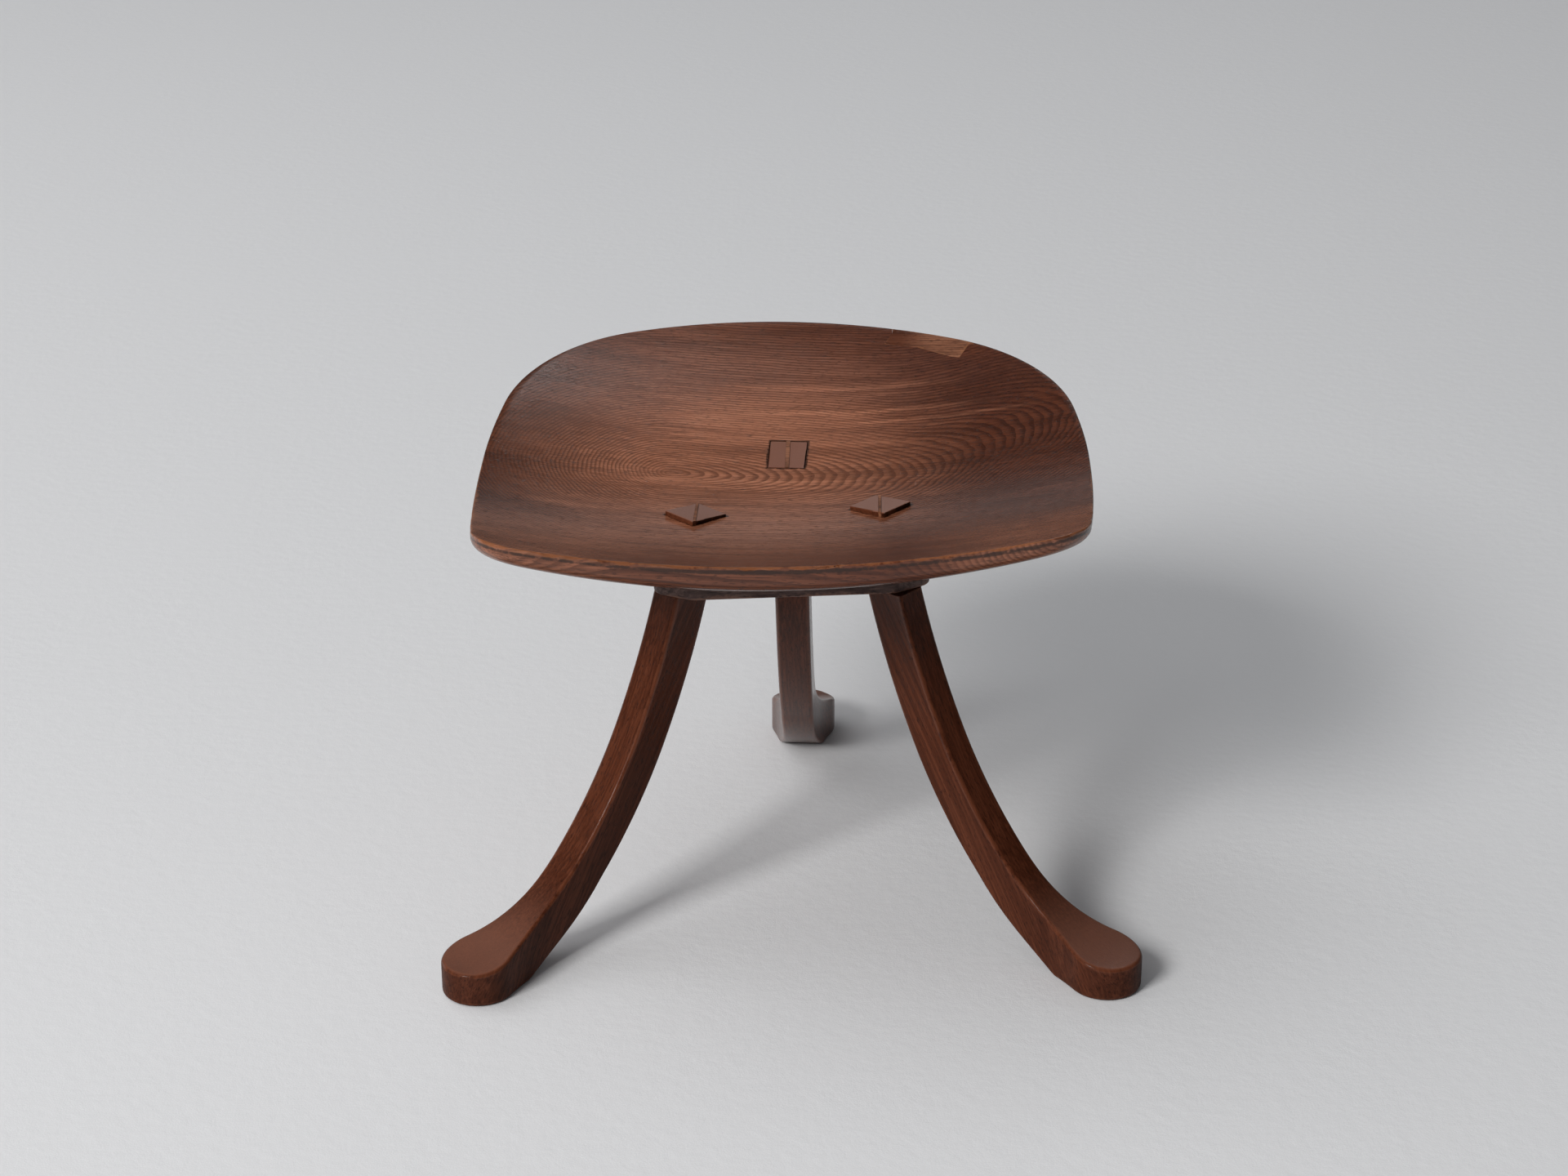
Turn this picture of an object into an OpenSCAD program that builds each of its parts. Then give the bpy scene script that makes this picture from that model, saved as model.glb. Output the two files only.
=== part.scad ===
// Low three-legged stool with a dished seat on splayed, curved legs.
// Origin on the floor under the middle of the whole stool, +Z up, -Y towards the seat's straight front edge.
// Sizes along X and Y are given from the middle of the leg tops, and the whole stool is then set by middle.

/* [Seat] */
// Width of the seat at its widest place
seat_w = 402; // [380:1:430]
// Reach of the back rim behind the middle
seat_back = 217; // [205:1:225]
// Reach of the front edge before the middle
seat_front = 174; // [165:0.5:185]
// Where the seat is widest, along Y
wide_y = 10; // [5:1:30]
// Middle of the seat's outline, along X
seat_x = -1; // [-3:0.5:3]
// Radius of the back edge in plan
back_r = 285; // [270:5:340]
// Radius of the side behind the widest place
side_back_r = 530; // [450:10:600]
// Radius of the side before the widest place
side_front_r = 1300; // [1000:50:1600]
// Radius of the front edge in plan
front_r = 2000; // [1500:50:3000]
// Radius of the two rounded back shoulders
shoulder_r = 137; // [120:1:150]
// Radius of the two front corners
corner_r = 38; // [25:1:45]
// Thickness of the seat at its lowest point
seat_t = 20; // [18:0.5:26]
// Radius of the dish from left to right
dish_across_r = 1000; // [900:10:1100]
// Radius of the dish from front to back
dish_along_r = 640; // [600:10:680]
// Radius of the underside from left to right
under_across_r = 750; // [720:10:800]
// Radius of the underside from front to back
under_along_r = 550; // [530:10:570]
// Lowest point of dish and underside, along X
dish_x = -12.5; // [-20:0.5:0]
// Lowest point of dish and underside, along Y
dish_y = -21; // [-30:1:-10]
// Turn of dish and underside within the seat, in degrees
dish_turn = 10.5; // [0:0.5:15]
// Turn of the seat about the middle of the leg tops, in degrees
seat_turn = -1.5; // [-4:0.5:4]

/* [Seat block] */
// Height of the block's lower face above the floor
block_z = 230; // [215:1:245]
// Thickness of the block
block_t = 31; // [28:1:36]
// Gap that the landing fills between the block and the lowest point of the seat's underside
landing_t = 1; // [0.5:0.5:3]
// Half width of the block at its front edge
block_front_w = 70; // [66:1:76]
// Half width of the block at its widest place
block_wide_w = 91; // [88:1:98]
// Half width of the block at its back end
block_back_w = 18; // [16:1:24]
// Front edge of the block before the middle
block_front = 59; // [57:1:64]
// Widest place of the block before the middle
block_wide = 39; // [34:1:44]
// Back end of the block behind the middle
block_back = 97; // [92:1:104]
// Radius of the block's upright corners
block_corner_r = 11; // [6:1:14]
// Height of the block's upright lower edge
block_edge = 8; // [5:1:12]
// Widening of the block from its lower edge to the seat
block_flare = 11; // [6:1:14]
// Turn of the block about the origin, in degrees
block_turn = 5; // [2:0.5:7]

/* [Legs] */
// Width of a leg across its curve
leg_w = 24; // [22:0.5:26]
// Thickness of a leg along its curve
leg_t = 28; // [26:0.5:30]
// Angle of a leg from upright at its shoulder, in degrees
top_angle = 17.5; // [15:0.5:20]
// Angle of a leg where the shin begins, in degrees
shin_angle = 28; // [26:0.5:30]
// Angle of a leg where the ankle begins, in degrees
ankle_angle = 44; // [42:0.5:46]
// Angle of a leg where its curve ends over the foot, in degrees
foot_angle = 84; // [80:0.5:86]
// Radius of the shin's curve
shin_r = 340; // [320:5:360]
// Radius of the ankle's curve
ankle_r = 165; // [155:1:175]
// Height of the foot where the leg's curve ends
foot_h = 23.5; // [21:0.5:26]
// Extra depth of the leg towards the heel
heel_swell = 8; // [4:0.5:10]
// Radius of the round foot
foot_r = 24; // [21:0.5:27]
// Middle of the round foot, before the end of the leg's curve
foot_back = 14.5; // [10:0.5:18]
// Radius of the hollow that joins leg and foot in plan
neck_r = 50; // [30:1:70]

/* [Places of the legs] */
// Middle of the leg tops from the middle of the stool's outer box along X
middle_x = -3; // [-6:0.5:0]
// Middle of the leg tops from the middle of the stool's outer box along Y
middle_y = -25; // [-28:0.5:-22]
// Left front leg's shoulder along X
left_x = -69; // [-72:0.5:-66]
// Left front leg's shoulder along Y
left_y = -41; // [-43:0.5:-38]
// Direction of the left front leg, in degrees from +X
left_turn = 224; // [220:0.5:228]
// Right front leg's shoulder along X
right_x = 70.5; // [67:0.5:73]
// Right front leg's shoulder along Y
right_y = -39.5; // [-42:0.5:-37]
// Direction of the right front leg, in degrees from +X
right_turn = 318.5; // [315:0.5:322]
// Back leg's shoulder along X
back_x = 3.5; // [0:0.5:6]
// Back leg's shoulder along Y
back_y = 64.5; // [60:0.5:68]
// Direction of the back leg, in degrees from +X
back_turn = 86.5; // [84:0.5:90]
// Spread of the back leg compared with the front legs
back_spread = 0.85; // [0.8:0.01:1]

/* [Tenons and wedges] */
// Width and length of a tenon at its shoulder
tenon_root = 20; // [18:0.5:21]
// Step of a tenon's root from the middle of the leg, towards the stool's middle
tenon_inset = 4; // [3:0.5:5]
// Width of a front tenon's end
front_tenon_w = 27; // [25:0.5:29]
// Length of a front tenon's end
front_tenon_l = 30; // [27:0.5:32]
// Width of the back tenon's end
back_tenon_w = 25; // [23:0.5:27]
// Length of the back tenon's end
back_tenon_l = 39; // [34:0.5:41]
// Drift of the left tenon's end from its shoulder along X
left_rake_x = 10; // [7:0.5:12]
// Drift of the left tenon's end from its shoulder along Y
left_rake_y = -8; // [-9:0.5:4]
// Drift of the right tenon's end from its shoulder along X
right_rake_x = -10; // [-13:0.5:-7]
// Drift of the right tenon's end from its shoulder along Y
right_rake_y = 1.5; // [-4:0.5:6]
// Drift of the back tenon's end from its shoulder along X
back_rake_x = -3; // [-5:0.5:0]
// Drift of the back tenon's end from its shoulder along Y
back_rake_y = -11; // [-14:0.5:-8]
// Height that the front tenons stand above the dish
front_proud = 2.7; // [1:0.1:4]
// Height that the back tenon stands above the dish
back_proud = 0.4; // [0.2:0.1:1]
// Slope of the tenons' sawn ends, in degrees
end_slope = 6.5; // [4:0.5:9]
// Gap between a tenon and its mortise, on each side
tenon_gap = 0.15; // [0.1:0.05:0.3]
// Thickness of the front wedges at their upper edge
front_wedge_t = 1.8; // [1.4:0.1:2.4]
// Thickness of the back wedge at its upper edge
back_wedge_t = 2.7; // [2:0.1:3.4]
// Thickness of a wedge at its lower edge
wedge_tip = 0.8; // [0.6:0.1:1]
// Depth of a wedge in its tenon
wedge_deep = 32; // [24:1:38]

/* [Rim patch] */
// Left end of the patch along the seat's X
patch_left = 64.5; // [60:0.5:70]
// Right end of the patch along the seat's X
patch_right = 124; // [119:0.5:128]
// Inner edge of the patch at its left end, along the seat's Y
patch_left_y = 191; // [188:0.5:194]
// Inner edge of the patch at its right end, along the seat's Y
patch_right_y = 169.5; // [167:0.5:172]
// Step in the patch's joint line
patch_step = 6; // [4:0.5:8]

/* [Hidden] */
seat_colour = [0.43, 0.2, 0.12];
block_colour = [0.36, 0.21, 0.17];
leg_colour = [0.3, 0.11, 0.07];
wedge_colour = [0.5, 0.27, 0.16];
patch_colour = [0.55, 0.3, 0.16];

middle = [middle_x, middle_y, 0];
spare = 30;
arc_steps = 12;
corner_steps = 6;
round_fn = 1080;

block_top = block_z + block_t;
under_z = block_top + landing_t;
dish_z = under_z + seat_t;
sky_z = dish_z + 2 * spare;
tenon_foot = 3;

foot_mid_z = foot_h - leg_t / 2 * sin(foot_angle);
// Radius of the leg's uppermost arc, which makes the leg as high as the block
thigh_r = (block_z - foot_mid_z - shin_r * (sin(ankle_angle) - sin(shin_angle))
           - ankle_r * (sin(foot_angle) - sin(ankle_angle))) / (sin(shin_angle) - sin(top_angle));
leg_radii = [thigh_r, shin_r, ankle_r];
leg_angles = [top_angle, shin_angle, ankle_angle, foot_angle];
leg_steps = [4, 5, 12];

// Points of an arc about centre c from angle a0 up to, and without, angle a1
function arc(c, r, a0, a1, n = arc_steps) =
    [for (i = [0:n - 1]) c + r * [cos(a0 + (a1 - a0) * i / n), sin(a0 + (a1 - a0) * i / n)]];

// Angle of the direction from p to q
function angle_to(p, q) = atan2(q[1] - p[1], q[0] - p[0]);

// Where circles of radius ra about a and rb about b cross, to the right of the way from a to b
function crossing(a, ra, b, rb) =
    let (d = norm(b - a), u = (b - a) / d, s = (ra * ra - rb * rb + d * d) / (2 * d))
    a + s * u + sqrt(ra * ra - s * s) * [u[1], -u[0]];

// Plan point turned about the origin
function turned(p, a) = [p[0] * cos(a) - p[1] * sin(a), p[0] * sin(a) + p[1] * cos(a)];

// Radius, about the dish's own line, of its ring at x
function dish_ring(x) = dish_along_r - dish_across_r + sqrt(pow(dish_across_r, 2) - x * x);

// Height of the dish over a plan point, given in the seat's own directions
function dish_height(p) =
    let (q = turned(p - [dish_x, dish_y], -dish_turn))
    dish_z + dish_along_r - sqrt(pow(dish_ring(q[0]), 2) - q[1] * q[1]);

// Outline of the seat: six tangent arcs on each side, from the back to the front
module seat_plan() {
    back_c = [0, seat_back - back_r];
    side_c = [seat_w / 2 - side_back_r, wide_y];
    flank_c = [seat_w / 2 - side_front_r, wide_y];
    front_c = [0, front_r - seat_front];
    shoulder_c = crossing(back_c, back_r - shoulder_r, side_c, side_back_r - shoulder_r);
    corner_c = crossing(flank_c, side_front_r - corner_r, front_c, front_r - corner_r);
    half = concat(
        arc(back_c, back_r, 90, angle_to(back_c, shoulder_c)),
        arc(shoulder_c, shoulder_r, angle_to(back_c, shoulder_c), angle_to(side_c, shoulder_c)),
        arc(side_c, side_back_r, angle_to(side_c, shoulder_c), 0),
        arc(flank_c, side_front_r, 0, angle_to(flank_c, corner_c)),
        arc(corner_c, corner_r, angle_to(flank_c, corner_c), angle_to(front_c, corner_c)),
        arc(front_c, front_r, angle_to(front_c, corner_c), -90),
        [[0, -seat_front]]);
    translate([seat_x, 0])
        polygon(concat(half, [for (i = [len(half) - 2:-1:1]) [-half[i][0], half[i][1]]]));
}

// Solid of revolution about a level line, whose lowest point is at height low
module hollow(across_r, along_r, low) {
    translate([dish_x, dish_y, low + along_r])
        rotate([0, 90, dish_turn])
            rotate_extrude($fn = round_fn)
                intersection() {
                    translate([along_r - across_r, 0]) circle(across_r, $fn = round_fn);
                    translate([0, -across_r]) square([along_r, 2 * across_r]);
                }
}

// Middles of the block's rounded corners, in turn from the front left
block_corners = [
    [block_corner_r / 2 - block_front_w, block_corner_r - block_front],
    [block_front_w - block_corner_r / 2, block_corner_r - block_front],
    [block_wide_w - block_corner_r, -block_wide],
    [block_back_w - block_corner_r, block_back - block_corner_r],
    [block_corner_r - block_back_w, block_back - block_corner_r],
    [block_corner_r - block_wide_w, -block_wide]];

// Outline of the block, wider all round by the given amount
function block_ring(wider) =
    [for (i = [0:5])
        let (c = block_corners[i],
             from = angle_to(block_corners[(i + 5) % 6], c) - 90,
             to = angle_to(c, block_corners[(i + 1) % 6]) - 90,
             turn = (to - from + 720) % 360)
        for (j = [0:corner_steps])
            let (a = from + turn * j / corner_steps)
            c + (block_corner_r + wider) * [cos(a), sin(a)]];

// Steps of the cove up the block, as height over its lower face and widening
cove = [for (a = [0:15:90]) [block_edge + (block_t - block_edge) * sin(a), block_flare * (1 - cos(a))]];

// Block with an upright lower edge and a cove that sweeps out under the seat
module block_body() {
    levels = concat([[0, 0]], cove);
    n = len(block_ring(0));
    last = len(levels) - 1;
    polyhedron([for (level = levels, p = block_ring(level[1])) [p[0], p[1], level[0]]],
               concat([[for (i = [0:n - 1]) i]],
                      [for (k = [0:last - 1], i = [0:n - 1])
                          [k * n + i, (k + 1) * n + i, (k + 1) * n + (i + 1) % n, k * n + (i + 1) % n]],
                      [[for (i = [n - 1:-1:0]) last * n + i]]));
}

// Seat board with its flat landing for the block, before any joint is cut in it
module seat_blank() {
    difference() {
        intersection() {
            translate([0, 0, block_top]) linear_extrude(sky_z - block_top) seat_plan();
            union() {
                hollow(under_across_r, under_along_r, under_z);
                translate([0, 0, block_top])
                    rotate([0, 0, block_turn - seat_turn])
                        linear_extrude(sky_z - block_top) polygon(block_ring(block_flare));
            }
        }
        hollow(dish_across_r, dish_along_r, dish_z);
    }
}

// Space of the rim patch, which goes right through the board: a stepped joint in plan
module patch_space() {
    linear_extrude(sky_z)
        polygon([[patch_left + patch_step, seat_back + spare],
                 [patch_left + patch_step, patch_left_y + 2 * patch_step],
                 [patch_left, patch_left_y],
                 [patch_left + 4 * patch_step, patch_left_y - patch_step],
                 [patch_right - 2 * patch_step, patch_right_y + patch_step / 3],
                 [patch_right - patch_step, patch_right_y],
                 [patch_right, patch_right_y + 2 * patch_step],
                 [patch_right + spare, patch_right_y + 2 * spare]]);
}

// Start of leg arc k on the middle line of the leg, as reach and height
function arc_start(k) =
    k == 0 ? [0, block_z]
           : arc_start(k - 1) + leg_radii[k - 1] * [cos(leg_angles[k - 1]) - cos(leg_angles[k]),
                                                    sin(leg_angles[k - 1]) - sin(leg_angles[k])];

// Point off the middle line of arc k where the leg lies at angle a from upright
function leg_edge(k, a, spread, off) =
    let (p = arc_start(k) + leg_radii[k] * [cos(leg_angles[k]) - cos(a), sin(leg_angles[k]) - sin(a)],
         n = [cos(a), spread * sin(a)])
    [spread * p[0], p[1]] + off * n / norm(n);

// Depth of the leg below its middle line, which grows towards the heel
function below(a) =
    leg_t / 2 + heel_swell * max(0, (a - ankle_angle) / (foot_angle - ankle_angle));

// One edge of the leg's side view; side is 1 for the outer edge and -1 for the inner one
function leg_side(spread, side) =
    [for (k = [0:2], i = [0:leg_steps[k] - 1])
        let (a = leg_angles[k] + (leg_angles[k + 1] - leg_angles[k]) * i / leg_steps[k])
        leg_edge(k, a, spread, side > 0 ? leg_t / 2 : -below(a))];

// Side view of a leg, as reach and height, from the shoulder to the sole
module leg_profile(spread) {
    outer = leg_side(spread, 1);
    inner = leg_side(spread, -1);
    toe = leg_edge(2, foot_angle, spread, leg_t / 2);
    heel = leg_edge(2, foot_angle, spread, -below(foot_angle));
    lift = spare * [-spread * sin(top_angle), cos(top_angle)];
    intersection() {
        polygon(concat([outer[0] + lift], outer,
                       [toe, toe + [2 * spare, 0], [toe[0] + 2 * spare, heel[1]], heel],
                       [for (i = [len(inner) - 1:-1:0]) inner[i]], [inner[0] + lift]));
        translate([-2 * spare, 0]) square([toe[0] + 4 * spare, block_z]);
    }
}

// Plan of a leg along its reach: straight, then swelling to the round foot
module leg_plan(spread) {
    foot_c = [spread * leg_edge(2, foot_angle, 1, 0)[0] - foot_back, 0];
    rise = leg_w / 2 + neck_r;
    run = sqrt(pow(foot_r + neck_r, 2) - rise * rise);
    neck_c = [foot_c[0] - run, rise];
    half = concat(
        [[-2 * spare, leg_w / 2]],
        arc(neck_c, neck_r, -90, angle_to(neck_c, foot_c)),
        arc(foot_c, foot_r, angle_to(foot_c, neck_c), 0),
        [foot_c + [foot_r, 0]]);
    polygon(concat(half, [for (i = [len(half) - 2:-1:0]) [half[i][0], -half[i][1]]]));
}

// Curved limb and foot of a leg that points along +X, below its shoulder
module limb(spread) {
    intersection() {
        rotate([90, 0, 0]) linear_extrude(4 * foot_r, center = true) leg_profile(spread);
        linear_extrude(block_z + spare) leg_plan(spread);
    }
}

// A leg's facts, in the order: shoulder, direction, end's length, end's width, end's drift, height proud
left_leg = [[left_x, left_y], left_turn, front_tenon_l, front_tenon_w,
            [left_rake_x, left_rake_y], front_proud];
right_leg = [[right_x, right_y], right_turn, front_tenon_l, front_tenon_w,
             [right_rake_x, right_rake_y], front_proud];
back_leg = [[back_x, back_y], back_turn, back_tenon_l, back_tenon_w,
            [back_rake_x, back_rake_y], back_proud];

// Middle of a tenon's end in plan, and its height
function end_plan(leg) = leg[0] + leg[4];
function end_height(leg) = dish_height(turned(end_plan(leg), -seat_turn)) + leg[5];

// Corners of a tenon at height z, widened by gap on each side
function post_ring(leg, z, gap) =
    let (s = (z - block_z) / (end_height(leg) - block_z),
         root_c = leg[0] - tenon_inset * [cos(leg[1]), sin(leg[1])],
         c = root_c + s * (end_plan(leg) - root_c),
         l = (tenon_root + s * (leg[2] - tenon_root)) / 2 + gap,
         w = (tenon_root + s * (leg[3] - tenon_root)) / 2 + gap)
    [for (q = [[-l, -w], [l, -w], [l, w], [-l, w]]) let (p = c + turned(q, leg[1])) [p[0], p[1], z]];

// Flared post between two heights: a tenon, or the mortise round it
module post(leg, low, high, gap) {
    polyhedron(concat(post_ring(leg, low, gap), post_ring(leg, high, gap)),
               [[0, 1, 2, 3], [4, 7, 6, 5], [0, 4, 5, 1], [1, 5, 6, 2], [2, 6, 7, 3], [3, 7, 4, 0]]);
}

// Tenon with its sawn end
module tenon(leg) {
    difference() {
        post(leg, block_z - tenon_foot, end_height(leg) + spare / 2, 0);
        translate([end_plan(leg)[0], end_plan(leg)[1], end_height(leg)])
            rotate([0, -end_slope, leg[1]])
                translate([-spare, -spare, 0]) cube([2 * spare, 2 * spare, spare]);
    }
}

// Slot for a wedge, front to back across a tenon's end
module wedge_slot(leg, t) {
    widen = (t - wedge_tip) / wedge_deep / 2;
    translate([end_plan(leg)[0], end_plan(leg)[1], end_height(leg)])
        rotate([90, 0, seat_turn])
            linear_extrude(3 * spare, center = true)
                polygon([[-wedge_tip / 2, -wedge_deep], [wedge_tip / 2, -wedge_deep],
                         [t / 2 + widen * spare, spare], [-t / 2 - widen * spare, spare]]);
}

// Whole leg: limb, tenon and the slot for its wedge
module leg(facts, spread, wedge_t) {
    color(leg_colour)
        translate(middle)
            difference() {
                union() {
                    translate([facts[0][0], facts[0][1], 0]) rotate([0, 0, facts[1]]) limb(spread);
                    tenon(facts);
                }
                wedge_slot(facts, wedge_t);
            }
}

// Wedge that fills the slot in a tenon
module wedge(facts, wedge_t) {
    color(wedge_colour)
        translate(middle)
            intersection() {
                wedge_slot(facts, wedge_t);
                tenon(facts);
            }
}

// The three mortises through block and seat
module mortises() {
    for (leg = [left_leg, right_leg, back_leg])
        post(leg, block_z - tenon_foot, end_height(leg) + spare / 2, tenon_gap);
}

module seat() {
    color(seat_colour)
        translate(middle)
            difference() {
                rotate([0, 0, seat_turn])
                    difference() {
                        seat_blank();
                        patch_space();
                    }
                mortises();
            }
}

module seat_block() {
    color(block_colour)
        translate(middle)
            difference() {
                translate([0, 0, block_z]) rotate([0, 0, block_turn]) block_body();
                mortises();
            }
}

module leg_front_left() { leg(left_leg, 1, front_wedge_t); }

module leg_front_right() { leg(right_leg, 1, front_wedge_t); }

module leg_back() { leg(back_leg, back_spread, back_wedge_t); }

module wedge_front_left() { wedge(left_leg, front_wedge_t); }

module wedge_front_right() { wedge(right_leg, front_wedge_t); }

module wedge_back() { wedge(back_leg, back_wedge_t); }

module rim_patch() {
    color(patch_colour)
        translate(middle) rotate([0, 0, seat_turn])
            intersection() {
                seat_blank();
                patch_space();
            }
}

seat();
seat_block();
leg_front_left();
leg_front_right();
leg_back();
wedge_front_left();
wedge_front_right();
wedge_back();
rim_patch();
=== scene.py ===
"""Three-legged stool: its meshes, wood finishes, floor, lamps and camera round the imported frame."""
import logging
import math
from collections.abc import Iterable, Sequence
from dataclasses import dataclass, field
from enum import Enum

import bmesh
import bpy
import numpy as np
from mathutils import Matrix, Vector


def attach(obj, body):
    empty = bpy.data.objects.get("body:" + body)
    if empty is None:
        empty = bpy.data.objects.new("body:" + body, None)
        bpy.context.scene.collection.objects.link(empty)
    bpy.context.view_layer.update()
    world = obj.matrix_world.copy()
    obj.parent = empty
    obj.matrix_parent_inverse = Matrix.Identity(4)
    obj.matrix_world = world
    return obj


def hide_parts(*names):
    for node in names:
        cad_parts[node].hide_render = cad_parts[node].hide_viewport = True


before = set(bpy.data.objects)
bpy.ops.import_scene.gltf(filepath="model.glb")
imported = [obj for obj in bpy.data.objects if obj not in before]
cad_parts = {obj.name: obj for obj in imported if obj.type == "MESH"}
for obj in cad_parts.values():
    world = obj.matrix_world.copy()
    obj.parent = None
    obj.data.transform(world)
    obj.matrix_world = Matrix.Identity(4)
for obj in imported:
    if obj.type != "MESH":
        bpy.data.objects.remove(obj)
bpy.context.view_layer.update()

LOG = logging.getLogger("stool")
MM = 0.001
PER_METRE = (1000.0, 1000.0, 1000.0)
UNIT = (1.0, 1.0, 1.0)
QUARTER = math.pi / 2
CREASE = math.radians(32.0)
COAT_ROUGH = 0.3
ROOT = "root"

Point = tuple[float, float]
Place = tuple[float, float, float]
Colour = tuple[float, float, float]
Piece = bpy.types.Object


class Slot(Enum):
    """Material slots of the record."""

    SEAT = "seat_wood"
    BLOCK = "block_wood"
    LEG = "leg_wood"
    WEDGE = "wedge_wood"
    PATCH = "patch_wood"


class Carve(Enum):
    """Ways in which one mesh cuts another."""

    CUT = "DIFFERENCE"
    KEEP = "INTERSECT"
    JOIN = "UNION"


@dataclass(frozen=True)
class Setting:
    """How the parts lie to each other, in millimetres and degrees.

    Every size below is counted from the middle of the leg tops, as in the construction.

    Attributes:
        middle_x: Middle of the leg tops from the origin, along X.
        middle_y: The same along Y.
        seat_turn: Turn of the seat.
        block_turn: Turn of the block.
        block_z: Height of the block's lower face.
        block_t: Thickness of the block.
        landing_t: Thickness of the seat's landing at its thinnest.
        seat_t: Thickness of the seat.
    """

    middle_x: float = -3.0
    middle_y: float = -25.0
    seat_turn: float = -1.5
    block_turn: float = 5.0
    block_z: float = 230.0
    block_t: float = 31.0
    landing_t: float = 1.0
    seat_t: float = 20.0

    @property
    def block_top(self) -> float:
        """Height of the block's upper face."""
        return self.block_z + self.block_t

    @property
    def under_z(self) -> float:
        """Lowest point of the seat's underside."""
        return self.block_top + self.landing_t

    @property
    def dish_z(self) -> float:
        """Lowest point of the dish."""
        return self.under_z + self.seat_t

    @property
    def middle(self) -> np.ndarray:
        """Middle of the leg tops, on the floor."""
        return np.array([self.middle_x, self.middle_y, 0.0])


SET = Setting()


def turned(point: Point, degrees: float) -> Point:
    """Turns a plan point about the origin.

    Args:
        point: The plan point.
        degrees: The turn, counter-clockwise seen from above.

    Returns:
        The turned point.
    """
    c, s = math.cos(math.radians(degrees)), math.sin(math.radians(degrees))
    return point[0] * c - point[1] * s, point[0] * s + point[1] * c


def turned_rows(rows: np.ndarray, degrees: float) -> np.ndarray:
    """Turns plan points, one per row, about the origin.

    Args:
        rows: The plan points.
        degrees: The turn, counter-clockwise seen from above.

    Returns:
        The turned points.
    """
    c, s = math.cos(math.radians(degrees)), math.sin(math.radians(degrees))
    return rows @ np.array([[c, s], [-s, c]])


def smooth(t: float) -> float:
    """Smooth step of t, held between 0 and 1."""
    t = min(max(t, 0.0), 1.0)
    return t * t * (3 - 2 * t)


def spaced(line: np.ndarray, count: int) -> np.ndarray:
    """Spaces points evenly along a line.

    Args:
        line: Points along the line, one per row.
        count: How many points to give, with both ends.

    Returns:
        The even points, one per row.
    """
    run = np.concatenate([[0], np.cumsum(np.linalg.norm(np.diff(line, axis=0), axis=1))])
    at = np.linspace(0, run[-1], count)
    return np.c_[np.interp(at, run, line[:, 0]), np.interp(at, run, line[:, 1])]


def link(piece: Piece) -> Piece:
    """Puts an object in the scene and gives it back."""
    bpy.context.scene.collection.objects.link(piece)
    return piece


@dataclass
class Sketch:
    """A mesh that is being laid out, in millimetres about the middle of the leg tops.

    Attributes:
        points: The points.
        faces: Corner indices of each face.
    """

    points: list[Sequence[float]] = field(default_factory=list)
    faces: list[tuple[int, ...]] = field(default_factory=list)

    def row(self, points: Iterable[Sequence[float]]) -> list[int]:
        """Adds points.

        Args:
            points: The points, in order.

        Returns:
            Their indices.
        """
        first = len(self.points)
        self.points.extend(points)
        return list(range(first, len(self.points)))

    def face(self, *corners: int) -> None:
        """Adds a face, unless too many of its corners are the same.

        Args:
            corners: Indices of the corners.
        """
        single = tuple(dict.fromkeys(corners))
        if len(single) > 2:
            self.faces.append(single)

    def band(self, low: list[int], high: list[int]) -> None:
        """Adds a band of quads between two closed rows.

        Args:
            low: Indices of the one row.
            high: Indices of the other.
        """
        for i in range(len(low)):
            j = (i + 1) % len(low)
            self.faces.append((low[i], low[j], high[j], high[i]))

    def barrel(self, rows: list[list[int]]) -> None:
        """Adds bands between closed rows and a face at either end.

        Args:
            rows: Indices of each row, in order.
        """
        for low, high in zip(rows, rows[1:]):
            self.band(low, high)
        self.faces += [tuple(reversed(rows[0])), tuple(rows[-1])]

    def piece(self, name: str) -> Piece:
        """Makes a mesh object.

        Args:
            name: Name of the piece.

        Returns:
            The new object, linked to the scene.
        """
        mesh = bpy.data.meshes.new(name)
        mesh.from_pydata(((np.array(self.points) + SET.middle) * MM).tolist(), [], self.faces)
        mesh.validate()
        mesh.update()
        return link(bpy.data.objects.new(name, mesh))

    def solid(self, name: str) -> Piece:
        """Makes a closed mesh object, whose faces are turned outwards.

        Args:
            name: Name of the piece.

        Returns:
            The new object, linked to the scene.
        """
        piece = self.piece(name)
        work = bmesh.new()
        work.from_mesh(piece.data)
        bmesh.ops.recalc_face_normals(work, faces=work.faces)
        work.to_mesh(piece.data)
        work.free()
        return piece


def upright(name: str, plan: list[Point], low: float, high: float) -> Piece:
    """Makes an upright prism.

    Args:
        name: Name of the piece.
        plan: Corners, counter-clockwise seen from above.
        low: Height of its lower face.
        high: Height of its upper face.

    Returns:
        The prism.
    """
    sketch = Sketch()
    sketch.barrel([sketch.row((x, y, z) for x, y in plan) for z in (low, high)])
    return sketch.solid(name)


def carve(piece: Piece, tool: Piece, way: Carve) -> None:
    """Cuts, keeps or joins a piece with a tool mesh, for good.

    Args:
        piece: The mesh that is changed.
        tool: The mesh that it meets, which is used up.
        way: What is done.
    """
    step = piece.modifiers.new("carve", "BOOLEAN")
    step.operation = way.value
    step.solver = "MANIFOLD"
    step.object = tool
    graph = bpy.context.evaluated_depsgraph_get()
    mesh = bpy.data.meshes.new_from_object(piece.evaluated_get(graph))
    old = piece.data
    piece.modifiers.clear()
    piece.data = mesh
    mesh.name = piece.name
    bpy.data.meshes.remove(old)
    bpy.data.objects.remove(tool)


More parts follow.
